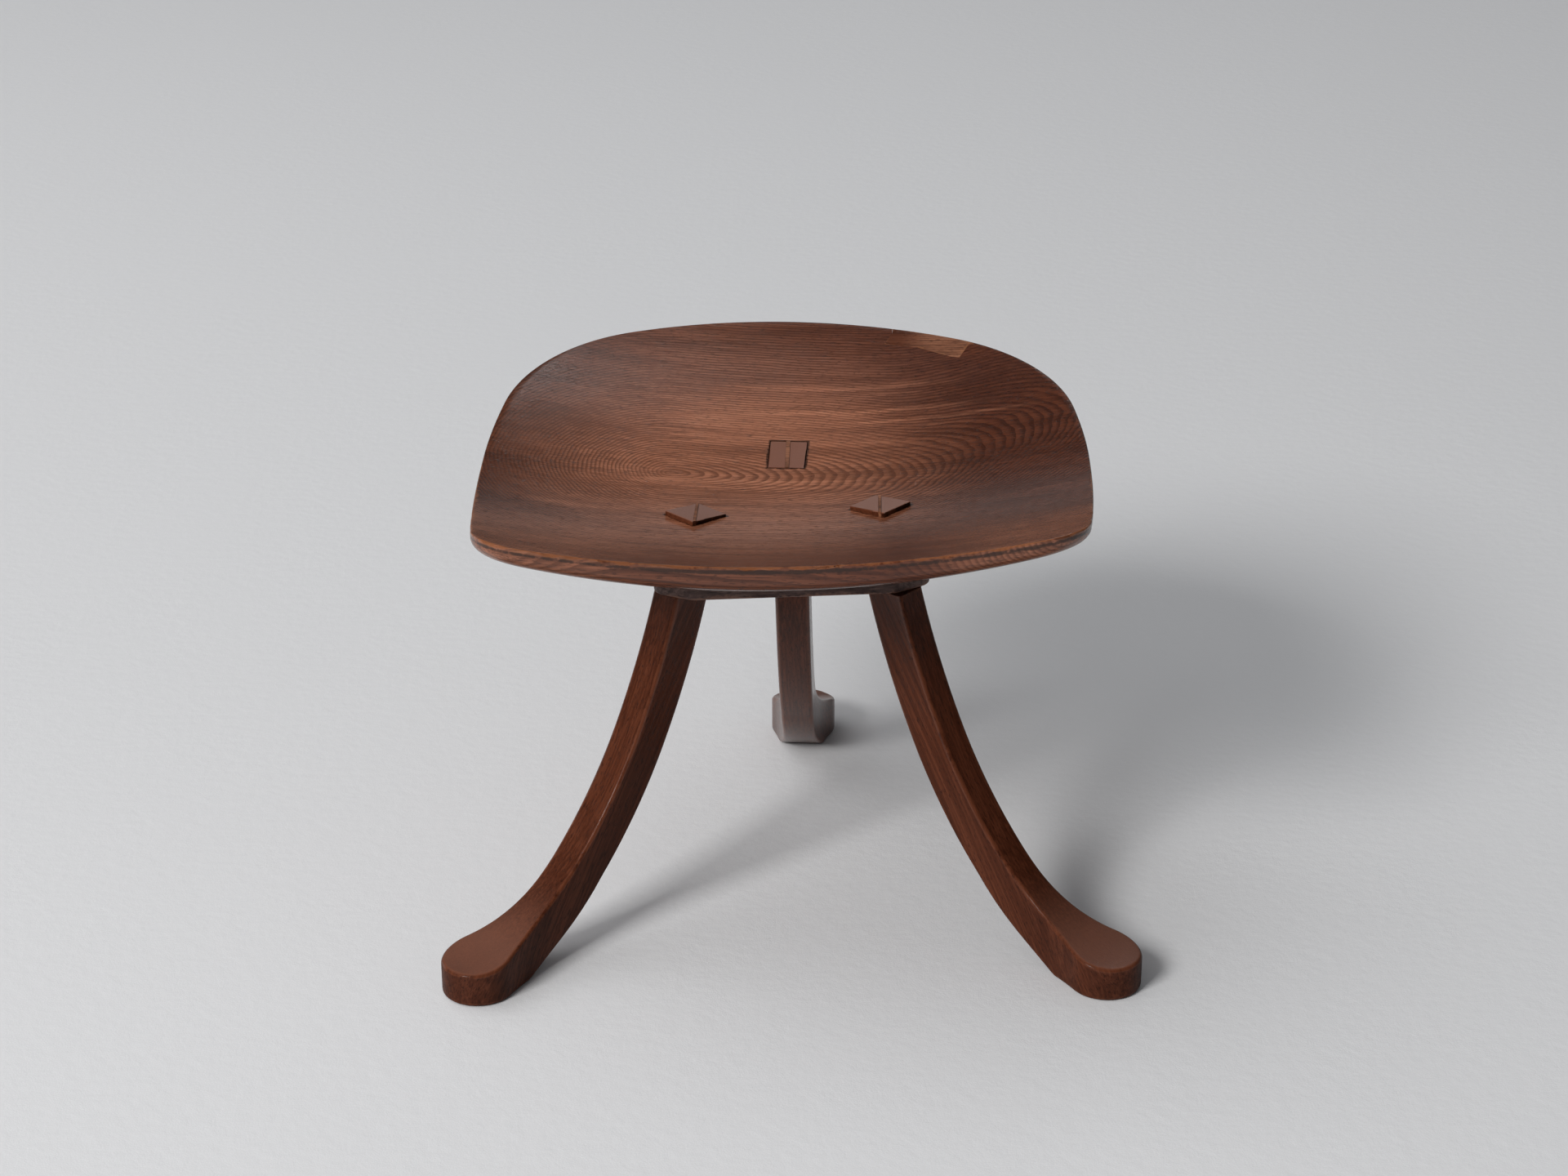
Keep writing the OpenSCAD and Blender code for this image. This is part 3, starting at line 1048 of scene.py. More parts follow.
@dataclass
class SeatShape:
    """Sizes of the dished board, in millimetres, in the seat's own directions.

    Attributes:
        width: Width over all.
        back: How far the rim reaches to the back.
        front: How far it reaches to the front.
        wide_y: Where it is widest.
        middle_x: Middle of the outline along X.
        back_r: Radius of the rim at the back.
        side_back_r: Radius of the sides, behind their widest place.
        side_front_r: Radius of the sides, before it.
        front_r: Radius of the front.
        shoulder_r: Radius between back and sides.
        corner_r: Radius of the front corners.
        arris: Radius of the rim's upper edge.
        lower_round: Width of the rim's rounded lower edge.
        lower_rise: Height of that edge as a share of its width.
        cells: Cells along each of the outline's four sides.
        arris_steps: Steps round the upper edge.
        wall_steps: Steps down the rim.
        lower_steps: Steps round the lower edge.
        top: The dish.
        under: The underside.
    """

    width: float = 402.0
    back: float = 217.0
    front: float = 174.0
    wide_y: float = 10.0
    middle_x: float = -1.0
    back_r: float = 285.0
    side_back_r: float = 530.0
    side_front_r: float = 1300.0
    front_r: float = 2000.0
    shoulder_r: float = 137.0
    corner_r: float = 38.0
    arris: float = 1.3
    lower_round: float = 8.0
    lower_rise: float = 0.9
    cells: int = 72
    arris_steps: int = 4
    wall_steps: int = 9
    lower_steps: int = 9
    top: Dish = SEAT_TOP
    under: Dish = SEAT_UNDER

    @staticmethod
    def crossing(a: np.ndarray, ra: float, b: np.ndarray, rb: float) -> np.ndarray:
        """Finds where two circles cross.

        Args:
            a: Middle of the first circle.
            ra: Its radius.
            b: Middle of the second circle.
            rb: Its radius.

        Returns:
            The crossing to the right of the way from a to b.
        """
        d = float(np.linalg.norm(b - a))
        u = (b - a) / d
        s = (ra * ra - rb * rb + d * d) / (2 * d)
        return a + s * u + math.sqrt(ra * ra - s * s) * np.array([u[1], -u[0]])

    def half_outline(self, step: float = 0.5) -> np.ndarray:
        """Follows the right half of the outline.

        Args:
            step: Distance between points.

        Returns:
            Fine points from the back to the front, one per row.
        """
        back = np.array([0.0, self.back - self.back_r])
        side = np.array([self.width / 2 - self.side_back_r, self.wide_y])
        flank = np.array([self.width / 2 - self.side_front_r, self.wide_y])
        front = np.array([0.0, self.front_r - self.front])
        in_r, corner_r = self.shoulder_r, self.corner_r
        shoulder = self.crossing(back, self.back_r - in_r, side, self.side_back_r - in_r)
        corner = self.crossing(flank, self.side_front_r - corner_r, front, self.front_r - corner_r)

        def toward(p: np.ndarray, q: np.ndarray) -> float:
            """Direction from p to q."""
            return math.atan2(q[1] - p[1], q[0] - p[0])

        arcs = [
            (back, self.back_r, QUARTER, toward(back, shoulder)),
            (shoulder, in_r, toward(back, shoulder), toward(side, shoulder)),
            (side, self.side_back_r, toward(side, shoulder), 0.0),
            (flank, self.side_front_r, 0.0, toward(flank, corner)),
            (corner, corner_r, toward(flank, corner), toward(front, corner)),
            (front, self.front_r, toward(front, corner), -QUARTER),
        ]
        points = []
        for c, r, a0, a1 in arcs:
            count = max(4, int(abs(a1 - a0) * r / step))
            for i in range(count):
                a = a0 + (a1 - a0) * i / count
                points.append(c + r * np.array([math.cos(a), math.sin(a)]))
        points.append(np.array([0.0, -self.front]))
        return np.array(points)

    def outline(self) -> tuple[np.ndarray, np.ndarray]:
        """Even points round the outline, four sides of equal count, and their outward directions.

        Returns:
            The points, counter-clockwise from the front left corner, and the outward unit vectors.
        """
        half = self.half_outline()
        loop = np.vstack([half, (half * [-1, 1])[-2:0:-1]])[::-1]
        corner_ways = np.array([(-1.0, -1.0), (1.0, -1.0), (0.78, 0.86), (-0.78, 0.86)])
        spots = [int(np.argmax(loop @ way)) for way in corner_ways]
        sides = []
        for a, b in zip(spots, spots[1:] + spots[:1]):
            side = loop[a:b + 1] if b > a else np.vstack([loop[a:], loop[:b + 1]])
            sides.append(spaced(side, self.cells + 1)[:-1])
        points = np.vstack(sides) + [self.middle_x, 0.0]
        along = np.roll(points, -1, axis=0) - np.roll(points, 1, axis=0)
        along /= np.linalg.norm(along, axis=1)[:, None]
        return points, np.c_[along[:, 1], -along[:, 0]]

    def grid_within(self, edge: np.ndarray) -> np.ndarray:
        """Fills a closed edge of four equal sides with a square grid.

        Args:
            edge: Plan points of the edge, one per row.

        Returns:
            Plan points, by row from the front and by column from the left.
        """
        n = self.cells
        front, right = edge[0:n + 1], edge[n:2 * n + 1]
        back = edge[2 * n:3 * n + 1][::-1]
        left = np.vstack([edge[3 * n:], edge[:1]])[::-1]
        grid = np.zeros((n + 1, n + 1, 2))
        for j in range(n + 1):
            v = j / n
            for i in range(n + 1):
                u = i / n
                grid[j, i] = (
                    (1 - v) * front[i] + v * back[i] + (1 - u) * left[j] + u * right[j]
                    - (1 - u) * (1 - v) * front[0] - u * (1 - v) * front[n]
                    - (1 - u) * v * back[0] - u * v * back[n]
                )
        return grid

    def cover(self, sketch: Sketch, rim: np.ndarray, dish: Dish, ring: list[int], up: bool) -> None:
        """Covers the inside of a rim with a grid that lies on a dish.

        Args:
            sketch: The mesh that the grid joins.
            rim: Plan points of the rim.
            dish: The surface that the grid lies on.
            ring: Indices of the rim's points in the mesh.
            up: Whether the grid faces up.
        """
        n = self.cells
        inner = self.grid_within(rim)[1:n, 1:n].reshape(-1, 2)
        table = np.zeros((n + 1, n + 1), dtype=int)
        ids = sketch.row(np.c_[inner, dish.over(inner)])
        table[1:n, 1:n] = np.array(ids).reshape(n - 1, n - 1)
        table[0, :] = ring[0:n + 1]
        table[:, n] = ring[n:2 * n + 1]
        table[n, ::-1] = ring[2 * n:3 * n + 1]
        table[::-1, 0] = ring[3 * n:] + ring[:1]
        for j in range(n):
            for i in range(n):
                quad = (table[j, i], table[j, i + 1], table[j + 1, i + 1], table[j + 1, i])
                sketch.faces.append(tuple(int(q) for q in (quad if up else quad[::-1])))

    def worn_arris(self, edge: np.ndarray) -> np.ndarray:
        """Gives the radius of the rim's upper edge, which is worn unevenly along the front.

        Args:
            edge: Plan points of the rim, one per row.

        Returns:
            The radius at each.
        """
        at = np.arange(len(edge)) * 2 * math.pi / len(edge)
        uneven = np.sin(at * 61) * np.sin(at * 23 + 1) + 0.7 * np.sin(at * 97 + 2)
        uneven = uneven + 0.6 * np.sin(at * 37)
        front = np.clip((-90 - edge[:, 1]) / 50, 0, 1)
        return self.arris * (1 + np.clip(uneven, -0.7, 1.4) * 0.75 * front)

    def blank(self, name: str) -> Piece:
        """Makes the whole board, with its worn rim, before any joint is cut.

        Args:
            name: Name of the piece.

        Returns:
            The board.
        """
        edge, out = self.outline()
        soft = self.worn_arris(edge)
        sketch = Sketch()
        rows = []
        for k in range(self.arris_steps + 1):
            a = QUARTER * k / self.arris_steps
            plan = edge - out * (soft * (1 - math.sin(a)))[:, None]
            rows.append(sketch.row(np.c_[plan, self.top.over(plan) - soft * (1 - math.cos(a))]))
        self.cover(sketch, edge - out * self.arris, self.top, rows[0], True)
        low_rows = []
        for k in range(self.lower_steps + 1):
            a = QUARTER * (1 - k / self.lower_steps)
            plan = edge - out * (self.lower_round * (1 - math.sin(a)))
            lift = self.lower_round * self.lower_rise * (1 - math.cos(a))
            low_rows.append(np.c_[plan, self.under.over(plan) + lift])
        wall_top = self.top.over(edge) - soft
        for k in range(1, self.wall_steps):
            z = wall_top + (low_rows[0][:, 2] - wall_top) * (k / self.wall_steps)
            rows.append(sketch.row(np.c_[edge, z]))
        rows += [sketch.row(low) for low in low_rows]
        for high, low in zip(rows, rows[1:]):
            sketch.band(low, high)
        self.cover(sketch, edge - out * self.lower_round, self.under, rows[-1], False)
        whole = np.array(sketch.points)
        whole[:, :2] = turned_rows(whole[:, :2], SET.seat_turn)
        sketch.points = list(whole)
        LOG.info("seat board %s: %d points, edge of %d", name, len(whole), len(edge))
        return sketch.piece(name)


@dataclass(frozen=True)
class Chip:
    """A chip out of the rim's upper edge, in millimetres in the seat's own directions.

    Attributes:
        x: Where on the rim, along X.
        y: The same along Y.
        long: Its length along the rim.
        deep: Its depth.
    """

    x: float
    y: float
    long: float
    deep: float


@dataclass
class SeatBoard:
    """The dished seat board with its landing, mortises and rim patch, in millimetres.

    Attributes:
        shape: The board before its joints.
        patch_left: Left end of the patch.
        patch_right: Its right end.
        patch_left_y: How far forward it reaches at the left.
        patch_right_y: How far forward it reaches at the right.
        patch_step: Size of the steps in its joint.
        joint: Width of that joint.
        chips: Chips in the rim.
        chip_rings: Rings of the lump that a chip is cut with.
        chip_turns: Points round each ring.
    """

    shape: SeatShape = field(default_factory=SeatShape)
    patch_left: float = 64.5
    patch_right: float = 124.0
    patch_left_y: float = 191.0
    patch_right_y: float = 169.5
    patch_step: float = 6.0
    joint: float = 0.12
    chips: tuple[Chip, ...] = (
        Chip(25.0, -175.0, 15.0, 2.2),
        Chip(34.0, -175.0, 6.0, 1.6),
        Chip(204.0, -110.0, 9.0, 1.8),
        Chip(-150.0, -160.0, 5.0, 1.2),
        Chip(-95.0, -170.0, 11.0, 0.9),
        Chip(105.0, -170.0, 8.0, 0.8),
    )
    chip_rings: int = 9
    chip_turns: int = 14

    def patch_prism(self, name: str, gap: float) -> Piece:
        """Makes the prism whose plan is the patch's stepped joint.

        Args:
            name: Name of the piece.
            gap: How far the joint is drawn in.

        Returns:
            The prism.
        """
        far, step = self.shape.back + 30, self.patch_step
        left, right = self.patch_left, self.patch_right
        left_y, right_y = self.patch_left_y, self.patch_right_y
        plan = [
            (left + step + gap, far),
            (left + step + gap, left_y + 2 * step),
            (left + gap, left_y + gap),
            (left + 4 * step, left_y - step + gap),
            (right - 2 * step, right_y + step / 3 + gap),
            (right - step - gap, right_y + gap),
            (right - gap, right_y + 2 * step),
            (right + 30, right_y + 60),
        ]
        plan = [turned(p, SET.seat_turn) for p in plan]
        return upright(name, plan, SET.block_top - 5, SET.dish_z + 90)

    def chip_tool(self, chip: Chip) -> Piece:
        """Makes the uneven lump that a chip is cut with.

        Args:
            chip: The chip.

        Returns:
            The lump.
        """
        edge, out = self.shape.outline()
        near = int(np.argmin(np.hypot(edge[:, 0] - chip.x, edge[:, 1] - chip.y)))
        at, away = edge[near], out[near]
        along = np.array([-away[1], away[0]])
        z = float(self.shape.top.height(at[0], at[1]))
        sketch = Sketch()
        rows = []
        for j in range(self.chip_rings):
            b = math.pi * (j + 0.5) / self.chip_rings
            ring = []
            for i in range(self.chip_turns):
                a = 2 * math.pi * i / self.chip_turns
                lump = 1 + 0.22 * math.sin(3 * a + 2 * j + chip.x) + 0.15 * math.sin(5 * a - j)
                u = chip.long / 2 * math.sin(b) * math.cos(a) * lump
                v = chip.deep * math.sin(b) * math.sin(a) * lump
                plan = at + along * u + away * (v + chip.deep * 0.35)
                height = z + chip.deep * math.cos(b) * lump * 0.9
                ring.append((*turned(tuple(plan), SET.seat_turn), height))
            rows.append(sketch.row(ring))
        sketch.barrel(rows)
        return sketch.solid("chip")

    def landing(self, block: "Block") -> Piece:
        """Makes the flat landing under the seat, in the block's outline.

        Args:
            block: The block.

        Returns:
            The landing.
        """
        ring = [turned(p, SET.block_turn) for p in block.ring(block.flare)]
        return upright("landing", ring, SET.block_top, SET.dish_z - 3)

    def build(self, block: "Block", legs: list["Leg"]) -> tuple[Piece, Piece]:
        """Builds the seat and its rim patch.

        Args:
            block: The block, whose outline the landing takes.
            legs: The legs, whose tenons the seat is mortised for.

        Returns:
            The seat and the patch.
        """
        seat = self.shape.blank("seat_board")
        patch = seat.copy()
        patch.data = seat.data.copy()
        patch.name = "rim_patch_wood"
        link(patch)
        carve(seat, self.patch_prism("patch_space", 0.0), Carve.CUT)
        carve(patch, self.patch_prism("patch_form", self.joint), Carve.KEEP)
        carve(seat, self.landing(block), Carve.JOIN)
        for chip in self.chips:
            carve(seat, self.chip_tool(chip), Carve.CUT)
        for leg in legs:
            carve(seat, leg.mortise(), Carve.CUT)
        return seat, patch

    def age(self, seat: Piece) -> None:
        """Marks where the rim is rubbed, with painted light toward the left of its front, and where
        dirt has gathered under its edge.

        Args:
            seat: The seat.
        """
        points = points_of(seat)
        plan = turned_rows(points[:, :2], -SET.seat_turn)
        x, y = plan[:, 0], plan[:, 1]
        edge, _ = self.shape.outline()
        inset = np.min(np.linalg.norm(plan[:, None, :] - edge[None, :, :], axis=2), axis=1)
        below = self.shape.top.over(plan) - points[:, 2]
        # the upper edge, rubbed most toward the front
        front = np.clip((40 - y) / 90, 0.25, 1)
        wear_and_painted_light = np.where((inset < 4) & (below < 4), edge_wear(seat) * front * 0.92, 0.0)
        # on the front of the rim, a rubbed line under that edge, stronger toward the left as painted
        # light, and a dirty one below it
        low = np.exp(-(((below - 2.1) / 1.3) ** 2)) * np.clip((60 - x) / 120, 0.4, 1)
        low = low * (inset < 0.8) * np.clip((-90 - y) / 30, 0, 1)
        grime_and_painted_shade = np.exp(-(((below - 3.4) / 1.4) ** 2)) * (inset < 0.8)
        grime_and_painted_shade = grime_and_painted_shade * np.clip((-50 - y) / 40, 0, 1) * np.clip((x + 170) / 100, 0.65, 1)
        store(seat, "wear_and_painted_light", np.maximum(wear_and_painted_light, low * 0.7))
        store(seat, "grime_and_painted_shade", grime_and_painted_shade)

    def finish(self, legs: list["Leg"]) -> SeatFinish:
        """The seat's finish.

        Args:
            legs: The legs, round whose tenons dirt has gathered.

        Returns:
            The finish.
        """
        return SeatFinish(
            name="seat walnut",
            dark=(0.17, 0.060, 0.030),
            mid=(0.34, 0.130, 0.070),
            light=(0.48, 0.20, 0.112),
            worn_and_lit=(0.25, 0.092, 0.038),
            turn=(0.0, 0.0, math.radians(SET.seat_turn)),
            ring_depth=0.27,
            streak_depth=0.7,
            rough=(0.215, 0.245),
            coat=0.10,
            specular=0.42,
            rub_and_lit=0.6,
            legs=tuple(legs),
        )

    def patch_finish(self) -> PatchFinish:
        """The patch's finish, paler than the seat's at its right end.

        Returns:
            The finish.
        """
        return PatchFinish(
            name="patch wood",
            dark=(0.10, 0.038, 0.020),
            mid=(0.22, 0.088, 0.046),
            light=(0.32, 0.14, 0.078),
            worn_and_lit=(0.30, 0.12, 0.05),
            turn=(0.0, 0.0, math.radians(-8.0)),
            seed=5.0,
            unpolished_and_shaded=0.40,
            rub_and_lit=0.4,
            rough=(0.22, 0.25),
        )

    def make(self, block: "Block", legs: list["Leg"]) -> None:
        """Builds and dresses the seat and its patch.

        Args:
            block: The block.
            legs: The legs.
        """
        seat, patch = self.build(block, legs)
        self.age(seat)
        store(patch, "wear_and_painted_light", edge_wear(patch) * 0.9)
        dress(seat, "seat", self.finish(legs))
        dress(patch, "rim_patch", self.patch_finish())


@dataclass
class Block:
    """The tapering block between the seat and the legs, in millimetres.

    Attributes:
        front_w: Half width at the front.
        wide_w: Half width at the widest place.
        back_w: Half width at the back.
        front: Reach to the front.
        wide: How far before the middle it is widest.
        back: Reach to the back.
        corner_r: Radius of its corners.
        edge: Height up to which its sides stand upright.
        flare: How far its sides sweep out above that.
        corner_steps: Steps round each corner.
        cell: Greatest distance between points of the outline.
        soft: Radius of its lower edge.
    """

    front_w: float = 70.0
    wide_w: float = 91.0
    back_w: float = 18.0
    front: float = 59.0
    wide: float = 39.0
    back: float = 97.0
    corner_r: float = 11.0
    edge: float = 8.0
    flare: float = 11.0
    corner_steps: int = 10
    cell: float = 6.0
    soft: float = 1.6

    def ring(self, wider: float) -> list[Point]:
        """Outline of the block.

        Args:
            wider: How much wider it is all round.

        Returns:
            Its points, counter-clockwise.
        """
        r = self.corner_r
        middles = [
            (r / 2 - self.front_w, r - self.front), (self.front_w - r / 2, r - self.front),
            (self.wide_w - r, -self.wide), (self.back_w - r, self.back - r),
            (r - self.back_w, self.back - r), (r - self.wide_w, -self.wide),
        ]

        def angle(p: Point, q: Point) -> float:
            """Direction from p to q, in degrees."""
            return math.degrees(math.atan2(q[1] - p[1], q[0] - p[0]))

        ring = []
        for i, c in enumerate(middles):
            start = angle(middles[i - 1], c) - 90
            end = angle(c, middles[(i + 1) % len(middles)]) - 90
            sweep = (end - start + 720) % 360
            for j in range(self.corner_steps + 1):
                a = math.radians(start + sweep * j / self.corner_steps)
                ring.append((c[0] + (r + wider) * math.cos(a), c[1] + (r + wider) * math.sin(a)))
        even = []
        for p, q in zip(ring, ring[1:] + ring[:1]):
            parts = max(1, int(math.dist(p, q) / self.cell))
            even += [
                (p[0] + (q[0] - p[0]) * k / parts, p[1] + (q[1] - p[1]) * k / parts)
                for k in range(parts)
            ]
        return even

    def levels(self) -> list[Point]:
        """Steps up the block's side.

        Returns:
            Height over the lower face and widening, for each step.
        """
        steps = [
            (self.soft * (1 - math.cos(a)), -self.soft * (1 - math.sin(a)))
            for a in np.radians([0, 22, 45, 67, 90])
        ]
        rise = SET.block_t - self.edge
        steps += [
            (self.edge + rise * math.sin(a), self.flare * (1 - math.cos(a)))
            for a in np.radians(np.arange(0, 91, 7.5))
        ]
        return steps

    def build(self, legs: list["Leg"]) -> Piece:
        """Builds the block, with its mortises.

        Args:
            legs: The legs, whose tenons it is mortised for.

        Returns:
            The block.
        """
        base, out = np.array(self.ring(0.0)), np.array(self.ring(1.0))
        sketch = Sketch()
        rows = []
        for z, wider in self.levels():
            ring = base + wider * (out - base)
            rows.append(sketch.row((*turned(p, SET.block_turn), SET.block_z + z) for p in ring))
        sketch.barrel(rows)
        block = sketch.piece("seat_block_wood")
        for leg in legs:
            carve(block, leg.mortise(), Carve.CUT)
        return block

    def age(self, block: Piece) -> None:
        """Marks the rubbed lower edges and a darkening toward the top, under the seat.

        Args:
            block: The block.
        """
        z = points_of(block)[:, 2]
        store(block, "wear_and_painted_light", edge_wear(block) * (z < SET.block_top - 4) * 0.85)
        # darker toward the block's top, under the seat
        store(block, "grime_and_painted_shade", np.clip((z - SET.block_top + 6) / 8, 0, 0.55))

    def finish(self) -> WoodFinish:
        """The block's finish, dull and greyer than the rest.

        Returns:
            The finish.
        """
        return WoodFinish(
            name="block wood",
            dark=linear(54, 36, 32),
            mid=linear(82, 62, 57),
            light=linear(106, 84, 78),
            worn_and_lit=linear(120, 88, 74),
            seed=2.0,
            rough=(0.5, 0.7),
        )

    def make(self, legs: list["Leg"]) -> None:
        """Builds and dresses the block.

        Args:
            legs: The legs.
        """
        block = self.build(legs)
        self.age(block)
        dress(block, "seat_block", self.finish())


@dataclass
class LegShape:
    """Section and curve that the three legs share, in millimetres and degrees.

    Attributes:
        width: Width of the section.
        thick: Thickness of the section.
        angles: Lean from upright at the shoulder, knee, ankle and foot.
        shin_r: Radius of the shin.
        ankle_r: Radius of the ankle.
        foot_h: Height of the leg's upper side at the foot.
        heel_swell: How much thicker the leg is at the foot.
        foot_r: Radius of the round foot.
        foot_back: How far the foot's middle lies behind the end of the middle line.
        neck_r: Radius of the curve from the leg's side into the foot.
        arris: Radius of the upper edges.
        sole_arris: Radius of the edge round the sole.
    """

    width: float = 24.0
    thick: float = 28.0
    angles: tuple[float, float, float, float] = (17.5, 28.0, 44.0, 84.0)
    shin_r: float = 340.0
    ankle_r: float = 165.0
    foot_h: float = 23.5
    heel_swell: float = 8.0
    foot_r: float = 23.85
    foot_back: float = 14.5
    neck_r: float = 160.0
    arris: float = 2.6
    sole_arris: float = 3.0

    @property
    def radii(self) -> tuple[float, float, float]:
        """Radii of thigh, shin and ankle.

        Returns:
            The radii, of which the thigh's makes the leg reach up to the block.
        """
        s = [math.sin(math.radians(a)) for a in self.angles]
        mid = self.foot_h - self.thick / 2 * s[3]
        below = self.shin_r * (s[2] - s[1]) + self.ankle_r * (s[3] - s[2])
        return (SET.block_z - mid - below) / (s[1] - s[0]), self.shin_r, self.ankle_r

    def middle(self, angle: float) -> Point:
        """Follows the middle line.

        Args:
            angle: Lean of the leg from upright.

        Returns:
            Reach and height where the leg leans so far.
        """
        x, z = 0.0, SET.block_z
        for k, r in enumerate(self.radii):
            a0, a1 = self.angles[k], self.angles[k + 1]
            a = min(max(angle, a0), a1) if k < 2 else max(angle, a0)
            x += r * (math.cos(math.radians(a0)) - math.cos(math.radians(a)))
            z += r * (math.sin(math.radians(a0)) - math.sin(math.radians(a)))
            if angle <= a1:
                break
        return x, z

    def off_middle(self, angle: float, spread: float, off: float) -> np.ndarray:
        """Finds a point beside the middle line.

        Args:
            angle: Lean of the leg from upright.
            spread: How far the leg spreads, where 1 is in full.
            off: Distance from the middle line, outwards.

        Returns:
            Its reach and height.
        """
        x, z = self.middle(angle)
        n = np.array([math.cos(math.radians(angle)), spread * math.sin(math.radians(angle))])
        return np.array([spread * x, z]) + off * n / np.linalg.norm(n)

    def edges(self, spread: float) -> tuple[np.ndarray, np.ndarray]:
        """Draws the side view.

        Args:
            spread: How far the leg spreads, where 1 is in full.

        Returns:
            Fine outer and inner edges, from the shoulder to the foot.
        """
        half = self.thick / 2
        shoulder, _, ankle, foot = self.angles
        fine = np.linspace(shoulder, foot, 400)
        outer = np.array([self.off_middle(a, spread, half) for a in fine])
        swell = [self.heel_swell * max(0.0, (a - ankle) / (foot - ankle)) for a in fine]
        inner = np.array([self.off_middle(a, spread, -half - s) for a, s in zip(fine, swell)])
        lean = math.radians(shoulder)
        lift = 30 * np.array([-spread * math.sin(lean), math.cos(lean)])
        inner = self.clip(np.vstack([inner[0] + lift, inner]), SET.block_z, True)
        outer = self.clip(np.vstack([outer, outer[-1] + [60, 0]]), SET.block_z, True)
        return outer, self.clip(inner, 0.0, False)

    @staticmethod
    def clip(line: np.ndarray, level: float, below: bool) -> np.ndarray:
        """Cuts a falling line at a level.

        Args:
            line: Reach and height of its points, one per row.
            level: The level.
            below: Whether the part below is kept, or the part above.

        Returns:
            The part that is kept.
        """
        z = line[:, 1]
        cross = int(np.argmax(z < level))
        if cross == 0:
            return line
        t = (level - z[cross]) / (z[cross - 1] - z[cross])
        at = line[cross] + t * (line[cross - 1] - line[cross])
        return np.vstack([at, line[cross:]]) if below else np.vstack([line[:cross], at])

    def foot_middle(self, spread: float) -> float:
        """Reach of the round foot's middle."""
        return spread * self.middle(self.angles[3])[0] - self.foot_back

    def half_width(self, reach: float, spread: float) -> float:
        """Half width of the leg, up to the foot's middle.

        Args:
            reach: Where along the leg.
            spread: How far the leg spreads, where 1 is in full.

        Returns:
            The half width.
        """
        foot = self.foot_middle(spread)
        rise = self.width / 2 + self.neck_r
        run = math.sqrt((self.foot_r + self.neck_r) ** 2 - rise * rise)
        neck = foot - run
        touch = neck + run * self.neck_r / (self.foot_r + self.neck_r)
        if reach <= neck:
            return self.width / 2
        if reach <= touch:
            return rise - math.sqrt(self.neck_r**2 - (reach - neck) ** 2)
        return math.sqrt(max(self.foot_r**2 - (min(reach, foot) - foot) ** 2, 0.0))


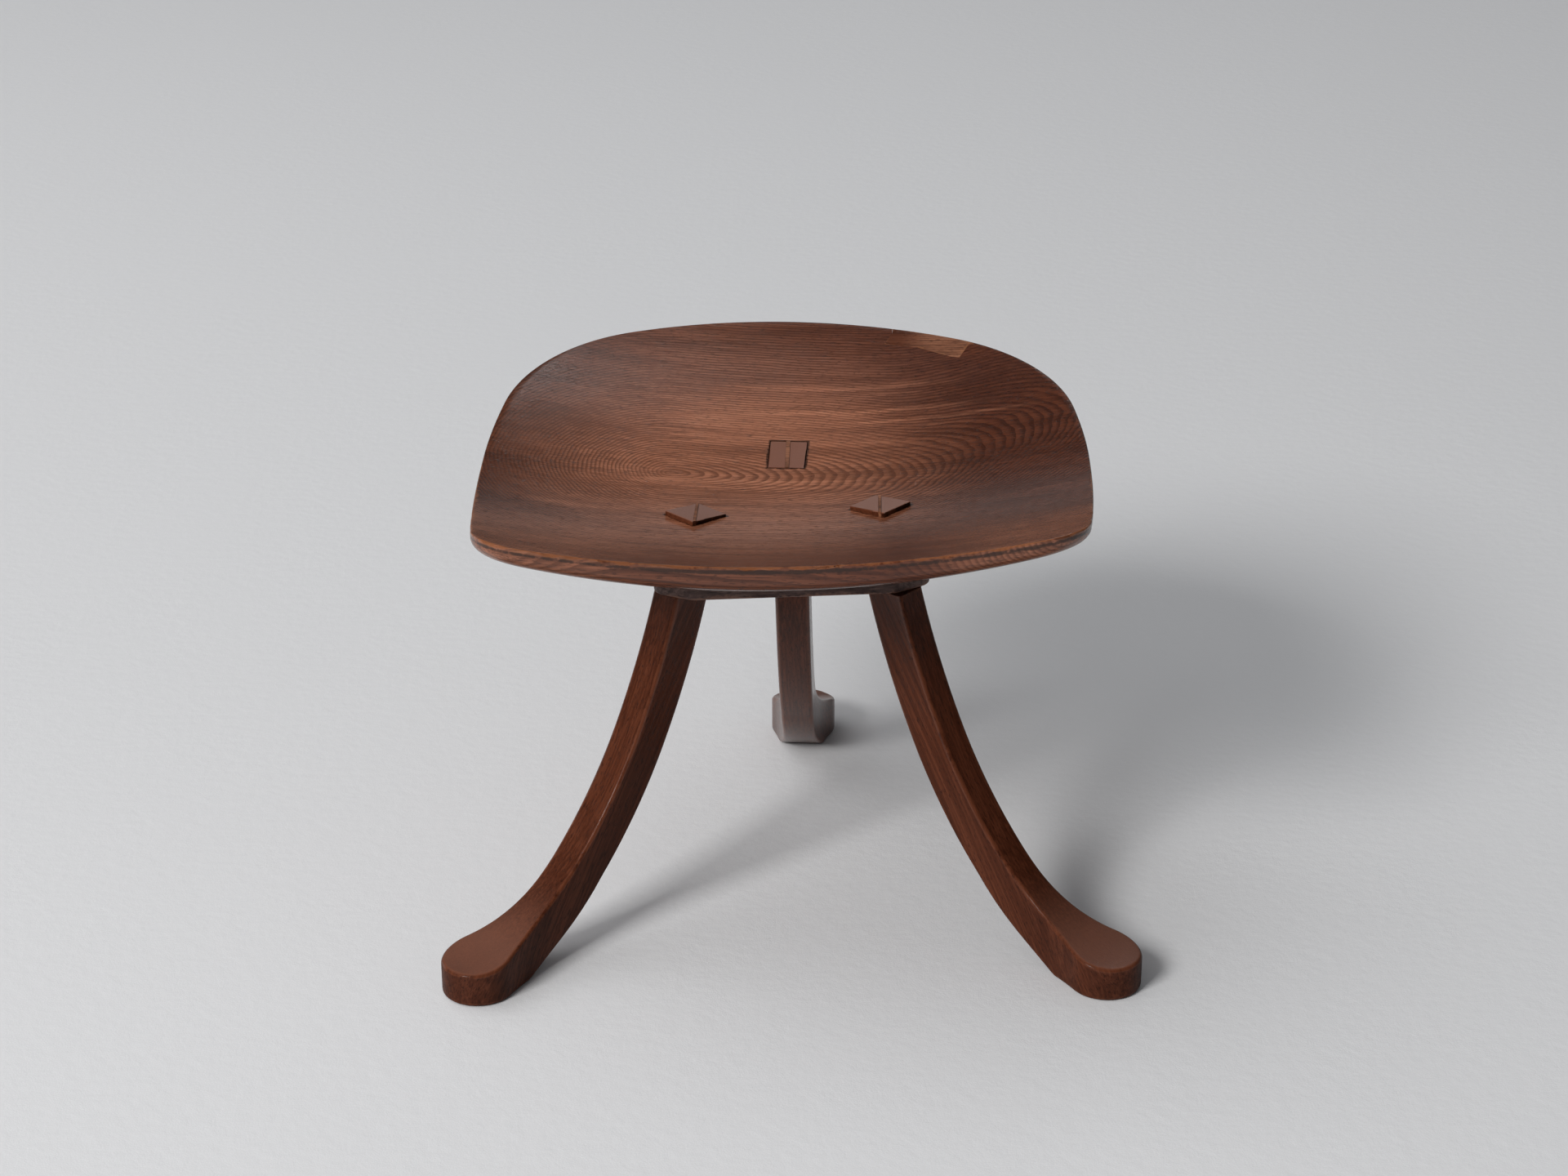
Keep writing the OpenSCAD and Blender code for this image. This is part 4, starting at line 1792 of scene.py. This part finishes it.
@dataclass
class Leg:
    """One leg with its tenon and its wedge, in millimetres and degrees.

    Attributes:
        name: Name of its node.
        shoulder: Where its shoulder meets the block, in plan.
        turn: Direction in which it spreads.
        end_l: Length of the tenon's end, along the leg's direction.
        end_w: Width of the tenon's end.
        rake: How far the tenon's end lies from the shoulder, in plan.
        proud: How far the tenon stands out of the seat.
        wedge_t: Thickness of the wedge at the tenon's end.
        spread: How far the leg spreads, where 1 is in full.
        shape: Its section and curve.
        root: Length and width of the tenon at the shoulder.
        inset: How far the tenon lies behind the leg's middle there.
        slope: Slope of the sawn end.
        wedge_tip: Thickness of the wedge at its tip.
        wedge_deep: Depth of the wedge.
        wedge_up: How high the wedge's prism stands before it is trimmed.
        wedge_proud: How far the wedge stands out of the tenon.
        wedge_joint: Gap between the wedge's ends and the tenon's sides.
        kerf_joint: Gap on either side of the wedge.
        joint: Gap round the tenon.
        post_soft: Radius of the tenon's long edges.
        end_soft: Width of the worn edge round the tenon's end.
        form_soft: Radius of the mortise's long edges.
        form_below: How far the mortise is cut past the block's lower face.
        form_above: How far it is cut past the tenon's end.
        top_cells: Cells over the top of the section, from its middle.
        corner_cells: Cells round each corner.
        wall_cells: Cells down each side.
        sections: Sections from the shoulder to the foot's middle.
        spokes: Sections round the front of the foot.
        post_cells: Steps up the tenon.
    """

    name: str
    shoulder: Point
    turn: float
    end_l: float
    end_w: float
    rake: Point
    proud: float
    wedge_t: float
    spread: float = 1.0
    shape: LegShape = field(default_factory=LegShape)
    root: float = 20.0
    inset: float = 4.0
    slope: float = 6.5
    wedge_tip: float = 0.8
    wedge_deep: float = 32.0
    wedge_up: float = 30.0
    wedge_proud: float = 0.35
    wedge_joint: float = 0.1
    kerf_joint: float = 0.12
    joint: float = 0.4
    post_soft: float = 0.8
    end_soft: float = 0.7
    form_soft: float = 0.3
    form_below: float = 3.0
    form_above: float = 40.0
    top_cells: int = 7
    corner_cells: int = 5
    wall_cells: int = 14
    sections: int = 90
    spokes: int = 30
    post_cells: int = 10

    @property
    def wedge_name(self) -> str:
        """Name of the wedge's node."""
        return self.name.replace("leg", "wedge")

    @property
    def end_mid(self) -> Point:
        """Middle of the tenon's end in plan."""
        return self.shoulder[0] + self.rake[0], self.shoulder[1] + self.rake[1]

    @property
    def end_z(self) -> float:
        """Height of the tenon's end at its middle."""
        return float(SEAT_TOP.height(*turned(self.end_mid, -SET.seat_turn))) + self.proud

    def to_plan(self, reach: float, side: float) -> Point:
        """Plan point for a reach and a sideways distance in the leg's own direction."""
        x, y = turned((reach, side), self.turn)
        return self.shoulder[0] + x, self.shoulder[1] + y

    def section(self, half: float, depth: float, top_r: float, low_r: float) -> list[Point]:
        """Draws half of a rounded section.

        Args:
            half: Half its width.
            depth: Its depth.
            top_r: Radius of its upper corner.
            low_r: Radius of its lower corner.

        Returns:
            Sideways distance and depth, from the upper middle to the lower one.
        """
        quarters = [QUARTER * k / self.corner_cells for k in range(self.corner_cells + 1)]
        rows = [((half - top_r) * k / self.top_cells, 0.0) for k in range(self.top_cells)]
        for a in quarters:
            rows.append((half - top_r + top_r * math.sin(a), top_r * (1 - math.cos(a))))
        for k in range(1, self.wall_cells):
            rows.append((half, top_r + (depth - top_r - low_r) * k / self.wall_cells))
        for a in quarters:
            rows.append((half - low_r * (1 - math.cos(a)), depth - low_r + low_r * math.sin(a)))
        inner = range(1, self.top_cells + 1)
        return rows + [((half - low_r) * (1 - k / self.top_cells), depth) for k in inner]

    def stations(self) -> list[tuple[np.ndarray, np.ndarray]]:
        """Places the leg's sections.

        Returns:
            Outer and inner point of each, from the shoulder to the middle of the foot.
        """
        outer, inner = self.shape.edges(self.spread)
        foot = self.shape.foot_middle(self.spread)
        stop = int(np.argmax(outer[:, 0] >= foot))
        t = (foot - outer[stop - 1, 0]) / (outer[stop, 0] - outer[stop - 1, 0])
        outer = np.vstack([outer[:stop], outer[stop - 1] + t * (outer[stop] - outer[stop - 1])])
        inner = np.vstack([inner, [foot, 0.0]])
        return list(zip(spaced(outer, self.sections), spaced(inner, self.sections)))

    def limb(self) -> tuple[Sketch, list[int]]:
        """Lays out limb and foot in the leg's own directions.

        Returns:
            The mesh, open at the shoulder, and the indices of the ring round it.
        """
        shape = self.shape
        outer, _ = shape.edges(self.spread)
        foot = shape.foot_middle(self.spread)
        half = shape.width / 2
        sketch = Sketch()

        def put(reach: float, side: float, z: float) -> int:
            """Adds a point and gives its index."""
            return sketch.row([(float(reach), float(side), float(z))])[0]

        def top_at(reach: float) -> float:
            """Height of the leg's upper side at a reach."""
            return float(np.interp(reach, outer[:, 0], outer[:, 1]))

        right: list[list[int]] = []
        left: list[list[int]] = []
        for o, i in self.stations():
            depth = float(np.linalg.norm(i - o))
            down = (i - o) / depth
            off_floor = smooth((i[1] - 4) / 14)
            low_r = shape.sole_arris + (shape.arris - shape.sole_arris) * off_floor
            one, other = [], []
            for side, d in self.section(half, depth, shape.arris, low_r):
                reach, z = o + down * d
                wider = shape.half_width(float(reach), self.spread) - half
                side = max(0.0, side + wider * min(1.0, side / (half - shape.arris)))
                one.append(put(reach, side, z))
                other.append(put(reach, -side, z) if side else one[-1])
            right.append(one)
            left.append(other)
        hub = right[-1]
        tip = []
        for s in range(1, self.spokes):
            a = QUARTER - math.pi * s / self.spokes
            ca, sa = math.cos(a), math.sin(a)
            rim_z = top_at(foot + shape.foot_r * ca)
            column = [hub[0]]
            for side, d in self.section(shape.foot_r, rim_z, shape.arris, shape.sole_arris)[1:-1]:
                top = top_at(foot + side * ca)
                column.append(put(foot + side * ca, side * sa, top - d * top / rim_z))
            tip.append([*column, hub[-1]])
        columns = right + tip + left[::-1]
        for a, b in zip(columns, columns[1:]):
            for k in range(len(a) - 1):
                sketch.face(a[k], a[k + 1], b[k + 1], b[k])
        return sketch, right[0] + left[0][-2:0:-1]

    def post_ring(self, z: float, gap: float, soft: float) -> list[Point]:
        """Draws the flared post at a height.

        Args:
            z: The height.
            gap: How much wider the post is on each side.
            soft: Radius of its corners.

        Returns:
            A ring in the leg's own directions, with as many points as the limb's.
        """
        s = (z - SET.block_z) / (self.end_z - SET.block_z)
        rake = turned(self.rake, -self.turn)
        cx = -self.inset + s * (rake[0] + self.inset)
        cy = s * rake[1]
        long = (self.root + s * (self.end_l - self.root)) / 2 + gap
        wide = (self.root + s * (self.end_w - self.root)) / 2 + gap
        half = self.section(wide, 2 * long, soft, soft)
        ring = [(cx + long - d, cy + side) for side, d in half]
        return ring + [(cx + long - d, cy - side) for side, d in half[-2:0:-1]]

    def end_plane(self, reach: float, lift: float = 0.0) -> float:
        """Height of the sawn end, or of a plane lifted over it, at a reach."""
        rake = turned(self.rake, -self.turn)
        return self.end_z + lift + math.tan(math.radians(self.slope)) * (reach - rake[0])

    def post_rows(self, low: float, lift: float, gap: float, soft: float) -> list[list[Place]]:
        """Lays out the post up to its sloping end.

        Args:
            low: Height of its foot.
            lift: How far it ends over the sawn end.
            gap: How much wider it is on each side.
            soft: Radius of its corners.

        Returns:
            Its rows in the leg's own directions, from the foot up.
        """
        rows = []
        for k in range(self.post_cells + 1):
            row = []
            for p in range(len(self.post_ring(low, gap, soft))):
                z = low
                for _ in range(4):  # the height depends on the reach, and that on the height
                    reach = self.post_ring(z, gap, soft)[p][0]
                    z = low + (self.end_plane(reach, lift) - low) * k / self.post_cells
                row.append((*self.post_ring(z, gap, soft)[p], z))
            rows.append(row)
        return rows

    def prism(self, name: str, low: float, lift: float, gap: float) -> Piece:
        """Makes the flared post alone, as a closed piece.

        Args:
            name: Name of the piece.
            low: Height of its foot.
            lift: How far it ends over the sawn end.
            gap: How much wider it is on each side.

        Returns:
            The post.
        """
        sketch = Sketch()
        rows = [
            sketch.row((*self.to_plan(x, y), z) for x, y, z in row)
            for row in self.post_rows(low, lift, gap, self.form_soft)
        ]
        sketch.barrel(rows)
        return sketch.solid(name)

    def mortise(self) -> Piece:
        """Makes the space that block and seat leave for the tenon."""
        low = SET.block_z - self.form_below
        return self.prism(f"{self.name}_mortise", low, self.form_above, self.joint)

    def wedge_prism(self, name: str, extra: float) -> Piece:
        """Makes the wedge's tapering prism.

        Args:
            name: Name of the piece.
            extra: How much thicker it is on each side.

        Returns:
            The prism, longer than the tenon is wide.
        """
        t, tip, deep, up = self.wedge_t, self.wedge_tip, self.wedge_deep, self.wedge_up
        low = tip / 2 + extra
        high = t / 2 + (t - tip) / deep / 2 * up + extra
        sketch = Sketch()
        rows = []
        for v in (-45.0, 45.0):
            ring = []
            for u, z in ((-low, -deep), (low, -deep), (high, up), (-high, up)):
                x, y = turned((u, v), SET.seat_turn)
                ring.append((self.end_mid[0] + x, self.end_mid[1] + y, self.end_z + z))
            rows.append(sketch.row(ring))
        sketch.barrel(rows)
        return sketch.solid(name)

    def build(self) -> tuple[Piece, Piece]:
        """Builds the leg and its wedge.

        Returns:
            The leg and the wedge.
        """
        sketch, before = self.limb()
        soft = self.end_soft
        rows = self.post_rows(SET.block_z, 0.0, 0.0, self.post_soft)
        end = self.post_rows(SET.block_z, 0.0, -soft, self.post_soft)[-1]
        rows[-1] = [(x, y, z - soft) for x, y, z in rows[-1]]
        rows.append([
            (x * 0.7 + u * 0.3, y * 0.7 + v * 0.3, z + soft * 0.7)
            for (x, y, z), (u, v, _) in zip(rows[-1], end)
        ])
        rows.append(end)
        for row in rows:
            after = sketch.row(row)
            sketch.band(before, after)
            before = after
        for k in range(len(before) // 2):
            sketch.face(before[k], before[k + 1], before[-k - 1], before[-k])
        sketch.points = [(*self.to_plan(x, y), z) for x, y, z in sketch.points]
        leg = sketch.solid(f"{self.name}_wood")
        wedge = self.wedge_prism(f"{self.wedge_name}_wood", 0.0)
        form = self.prism("wedge_form", SET.block_z, self.wedge_proud, self.wedge_joint)
        carve(wedge, form, Carve.KEEP)
        carve(leg, self.wedge_prism("kerf", self.kerf_joint), Carve.CUT)
        return leg, wedge

    def age(self, wood: Piece) -> None:
        """Marks the rubbed edges and the sawn end, paints a reflection on the foot's upper side, and
        paints light and shade on the tenon's two sides.

        Args:
            wood: The leg.
        """
        points = points_of(wood)
        z = points[:, 2]
        reach = turned_rows(points[:, :2] - np.array(self.shoulder), -self.turn)[:, 0]
        end = np.array([self.end_plane(float(r)) for r in reach])
        # the sawn end, then the rest of the tenon, with painted light on its left side and painted
        # shade on its right
        cap = (z > end - 0.2) & (z > SET.block_top)
        lit_and_shaded_post = (z > SET.block_top + 12) & ~cap
        aside = (points[:, 0] - self.end_mid[0]) / 3.0
        wear_and_painted_light = edge_wear(wood) * np.where(z > SET.block_z, 0.0, 0.9)
        # the foot's upper side, painted paler as a reflection of the light above
        up = np.array([v.normal.z for v in wood.data.vertices])
        toe_top_reflection = np.clip((up - 0.75) / 0.2, 0, 1) * np.clip((62 - z) / 34, 0, 1)
        # the sawn end, and the painted reflection on the foot's upper side
        store(wood, "cap", np.maximum(cap.astype(float), 0.6 * toe_top_reflection))
        # painted light on the tenon's left side and painted shade on its right side, rubbed edges
        # below
        store(wood, "wear_and_painted_light", np.where(lit_and_shaded_post, np.clip(0.5 - aside, 0, 1), wear_and_painted_light))
        store(wood, "grime_and_painted_shade", np.where(lit_and_shaded_post, np.clip(aside + 0.3, 0, 1), 0.0))

    def finish(self) -> WoodFinish:
        """The leg's finish, whose grain follows its mean lean.

        Returns:
            The finish.
        """
        return WoodFinish(
            name=f"{self.name} wood",
            dark=(0.040, 0.010, 0.004),
            mid=(0.078, 0.021, 0.009),
            light=(0.115, 0.033, 0.015),
            worn_and_lit=(0.18, 0.055, 0.025),
            turn=(0.0, math.radians(58.0), math.radians(self.turn)),
            seed=self.turn / 10,
            rub_and_lit=0.3,
            rough=(0.17, 0.25),
            coat=0.35,
            specular=0.2,
            ring_depth=0.05,
        )

    def wedge_finish(self) -> WoodFinish:
        """The wedge's finish.

        Returns:
            The finish.
        """
        return WoodFinish(
            name=f"{self.name} wedge wood",
            dark=linear(70, 40, 26),
            mid=linear(130, 84, 60),
            light=linear(160, 108, 80),
            worn_and_lit=linear(180, 120, 90),
            seed=7.0,
        )

    def make(self) -> None:
        """Builds and dresses the leg and its wedge."""
        wood, wedge = self.build()
        self.age(wood)
        for part in (wood, wedge):
            part.modifiers.new("even normals", "WEIGHTED_NORMAL").keep_sharp = True
        dress(wood, self.name, self.finish())
        dress(wedge, self.wedge_name, self.wedge_finish())


def three_legs() -> list[Leg]:
    """Places the three legs.

    Returns:
        The front left, front right and back leg.
    """
    return [
        Leg(
            name="leg_front_left", shoulder=(-69.0, -41.0), turn=224.0, end_l=30.0, end_w=27.0,
            rake=(10.0, -8.0), proud=2.7, wedge_t=1.8,
        ),
        Leg(
            name="leg_front_right", shoulder=(70.5, -39.5), turn=318.5, end_l=30.0, end_w=27.0,
            rake=(-10.0, 1.5), proud=2.7, wedge_t=1.8,
        ),
        Leg(
            name="leg_back", shoulder=(3.5, 64.5), turn=86.5, end_l=39.0, end_w=25.0,
            rake=(-3.0, -11.0), proud=0.4, wedge_t=2.7, spread=0.85,
        ),
    ]


@dataclass(frozen=True)
class Lamp:
    """A soft lamp that looks at a point, in metres and watts.

    Attributes:
        name: Name of the lamp.
        at: Where it hangs.
        to: The point.
        size: Its width and height.
        power: Its power.
        tone: Its colour.
        gloss: Whether it is for reflections alone, or for all but them.
    """

    name: str
    at: Place
    to: Place
    size: Point
    power: float
    tone: Colour = UNIT
    gloss: bool = False

    def hang(self) -> None:
        """Hangs the lamp."""
        data = bpy.data.lights.new(self.name, "AREA")
        data.shape = "RECTANGLE"
        data.size, data.size_y = self.size
        data.energy = self.power
        data.color = self.tone
        lamp = link(bpy.data.objects.new(self.name, data))
        lamp.location = self.at
        way = Vector(self.to) - Vector(self.at)
        lamp.rotation_euler = way.to_track_quat("-Z", "Y").to_euler()
        lamp.visible_diffuse = not self.gloss
        lamp.visible_glossy = self.gloss


@dataclass(frozen=True)
class Stage:
    """Floor, lights and camera, in metres and degrees.

    Attributes:
        camera_at: Where the camera stands.
        camera_pitch: Its turn up from looking straight down.
        lens: Its focal length in millimetres, on a picture 36 mm wide.
        floor_size: How far the floor reaches each way.
        floor_cells: Cells along each side of the floor.
        floor_tone: Colour of the floor by the stool.
        far_painted_light_tone: Colour of the floor far behind it, paler as painted light.
        speck_tone: Colour of its specks.
        mirror_tone: Colour of the floor in reflections.
        near_painted_shade_tone: Its colour there in the patch before the stool, a painted shade seen
            only in reflections.
        world_tone: Colour of the surroundings.
        world_level: Strength of the surroundings.
        mirror_level: Their strength in reflections.
        lamps: The lamps.
    """

    camera_at: Place = (-0.0049, -1.9394, 1.0437)
    camera_pitch: float = 66.5
    lens: float = 71.25
    floor_size: float = 16.0
    floor_cells: int = 16
    floor_tone: Colour = (0.76, 0.768, 0.785)
    far_painted_light_tone: Colour = (0.90, 0.91, 0.93)
    speck_tone: Colour = (0.62, 0.63, 0.64)
    mirror_tone: Colour = (0.75, 0.75, 0.76)
    near_painted_shade_tone: Colour = (0.20, 0.19, 0.19)
    world_tone: Colour = (0.97, 0.98, 1.0)
    world_level: float = 0.27
    mirror_level: float = 0.006
    lamps: tuple[Lamp, ...] = (
        Lamp("key", (-3.9, -4.55, 4.2), (0.0, 0.0, 0.1), (2.2, 2.2), 400.0, (1.0, 0.985, 0.965)),
        Lamp("room", (-2.6, 0.8, 4.4), (0.3, 0.6, 0.0), (4.2, 4.2), 66.0),
        Lamp("sheen", (0.40, 1.82, 2.26), (0.0, 0.0, 0.3), (0.35, 0.35), 4.5, gloss=True),
        Lamp("backdrop", (0.0, 5.0, 1.6), (0.0, 0.0, 0.3), (7.0, 0.8), 7.5, gloss=True),
        Lamp("left wall", (-4.0, 2.4, 0.9), (0.0, 0.0, 0.3), (2.0, 1.6), 9.0, gloss=True),
        Lamp("glint", (-3.9, -4.55, 4.2), (0.0, 0.0, 0.3), (1.0, 1.0), 60.0, gloss=True),
    )

    def camera(self) -> None:
        """Places the camera where the photograph was taken from."""
        data = bpy.data.cameras.new("camera")
        data.lens = self.lens
        data.sensor_width = 36.0
        data.clip_start = 0.05
        data.clip_end = 60.0
        camera = link(bpy.data.objects.new("camera", data))
        camera.location = self.camera_at
        camera.rotation_euler = (math.radians(self.camera_pitch), 0.0, 0.0)
        bpy.context.scene.camera = camera

    def floor(self) -> None:
        """Lays the pale floor."""
        size, cells = self.floor_size, self.floor_cells
        at = [-size + i * 2 * size / cells for i in range(cells + 1)]
        row = cells + 1
        corners = [j * row + i for j in range(cells) for i in range(cells)]
        mesh = bpy.data.meshes.new("floor")
        points = [(x, y, 0.0) for y in at for x in at]
        mesh.from_pydata(points, [], [(k, k + 1, k + row + 1, k + row) for k in corners])
        floor = link(bpy.data.objects.new("floor", mesh))
        floor.data.materials.append(self.floor_finish())

    def floor_finish(self) -> bpy.types.Material:
        """Builds the floor's material.

        Returns:
            The material.
        """
        n = Nodes("pale floor")
        place = n.place()
        fine = n.noise(place, 900.0, 2.0)
        side, back, _ = n.parts(place)
        # painted light: the floor is paler far behind the stool
        colour = n.mix(n.ramp(back, 0.3, 3.0, soft=False), self.floor_tone, self.far_painted_light_tone)
        colour = n.mix(fine * 0.04, colour, self.speck_tone)
        # painted shade: the patch before the stool is darker in reflections only
        near = 1.0 - n.ramp(abs(side), 0.34, 0.44)
        near = near * n.ramp(back, -0.36, -0.26) * (1.0 - n.ramp(back, -0.06, 0.0))
        mirrored = n.mix(near, self.mirror_tone, self.near_painted_shade_tone)
        glossy = Value(n, n.add("ShaderNodeLightPath").outputs["Is Glossy Ray"])
        colour = n.mix(glossy, colour, mirrored)
        height = n.noise(place, 90.0, 3.0) + fine * 0.3
        return n.finish(colour, 0.5, height, bump=0.35, coat=0.0, specular=0.3)

    def world(self) -> None:
        """Sets the pale surroundings, which are brighter on the left and dim in reflections."""
        world = bpy.data.worlds.new("surroundings")
        world.use_nodes = True
        tree = world.node_tree
        ground = tree.nodes["Background"]
        dim = tree.nodes.new("ShaderNodeBackground")
        for shade in (ground, dim):
            shade.inputs[0].default_value = (*self.world_tone, 1.0)
        dim.inputs[1].default_value = self.mirror_level
        either = tree.nodes.new("ShaderNodeMixShader")
        path = tree.nodes.new("ShaderNodeLightPath")
        way = tree.nodes.new("ShaderNodeSeparateXYZ")
        side = tree.nodes.new("ShaderNodeMapRange")
        side.inputs["From Min"].default_value = -0.6
        side.inputs["From Max"].default_value = 0.7
        side.inputs["To Min"].default_value = self.world_level * 1.4
        side.inputs["To Max"].default_value = self.world_level * 0.4
        for out, into in (
            (tree.nodes.new("ShaderNodeTexCoord").outputs["Generated"], way.inputs[0]),
            (way.outputs[0], side.inputs["Value"]),
            (side.outputs[0], ground.inputs[1]),
            (path.outputs["Is Glossy Ray"], either.inputs[0]),
            (ground.outputs[0], either.inputs[1]),
            (dim.outputs[0], either.inputs[2]),
            (either.outputs[0], tree.nodes["World Output"].inputs[0]),
        ):
            tree.links.new(out, into)
        bpy.context.scene.world = world

    def build(self) -> None:
        """Sets up the whole stage."""
        self.camera()
        self.floor()
        self.world()
        for lamp in self.lamps:
            lamp.hang()
        bpy.context.scene.view_settings.view_transform = "Standard"
        LOG.info("stage: floor, camera and %d lamps", len(self.lamps))


def main() -> None:
    """Builds the stage and the stool's pieces in order."""
    logging.basicConfig(level=logging.INFO, format="%(name)s: %(message)s")
    Stage().build()
    legs = three_legs()
    block = Block()
    SeatBoard().make(block, legs)
    block.make(legs)
    for leg in legs:
        leg.make()


if __name__ == "__main__":
    main()
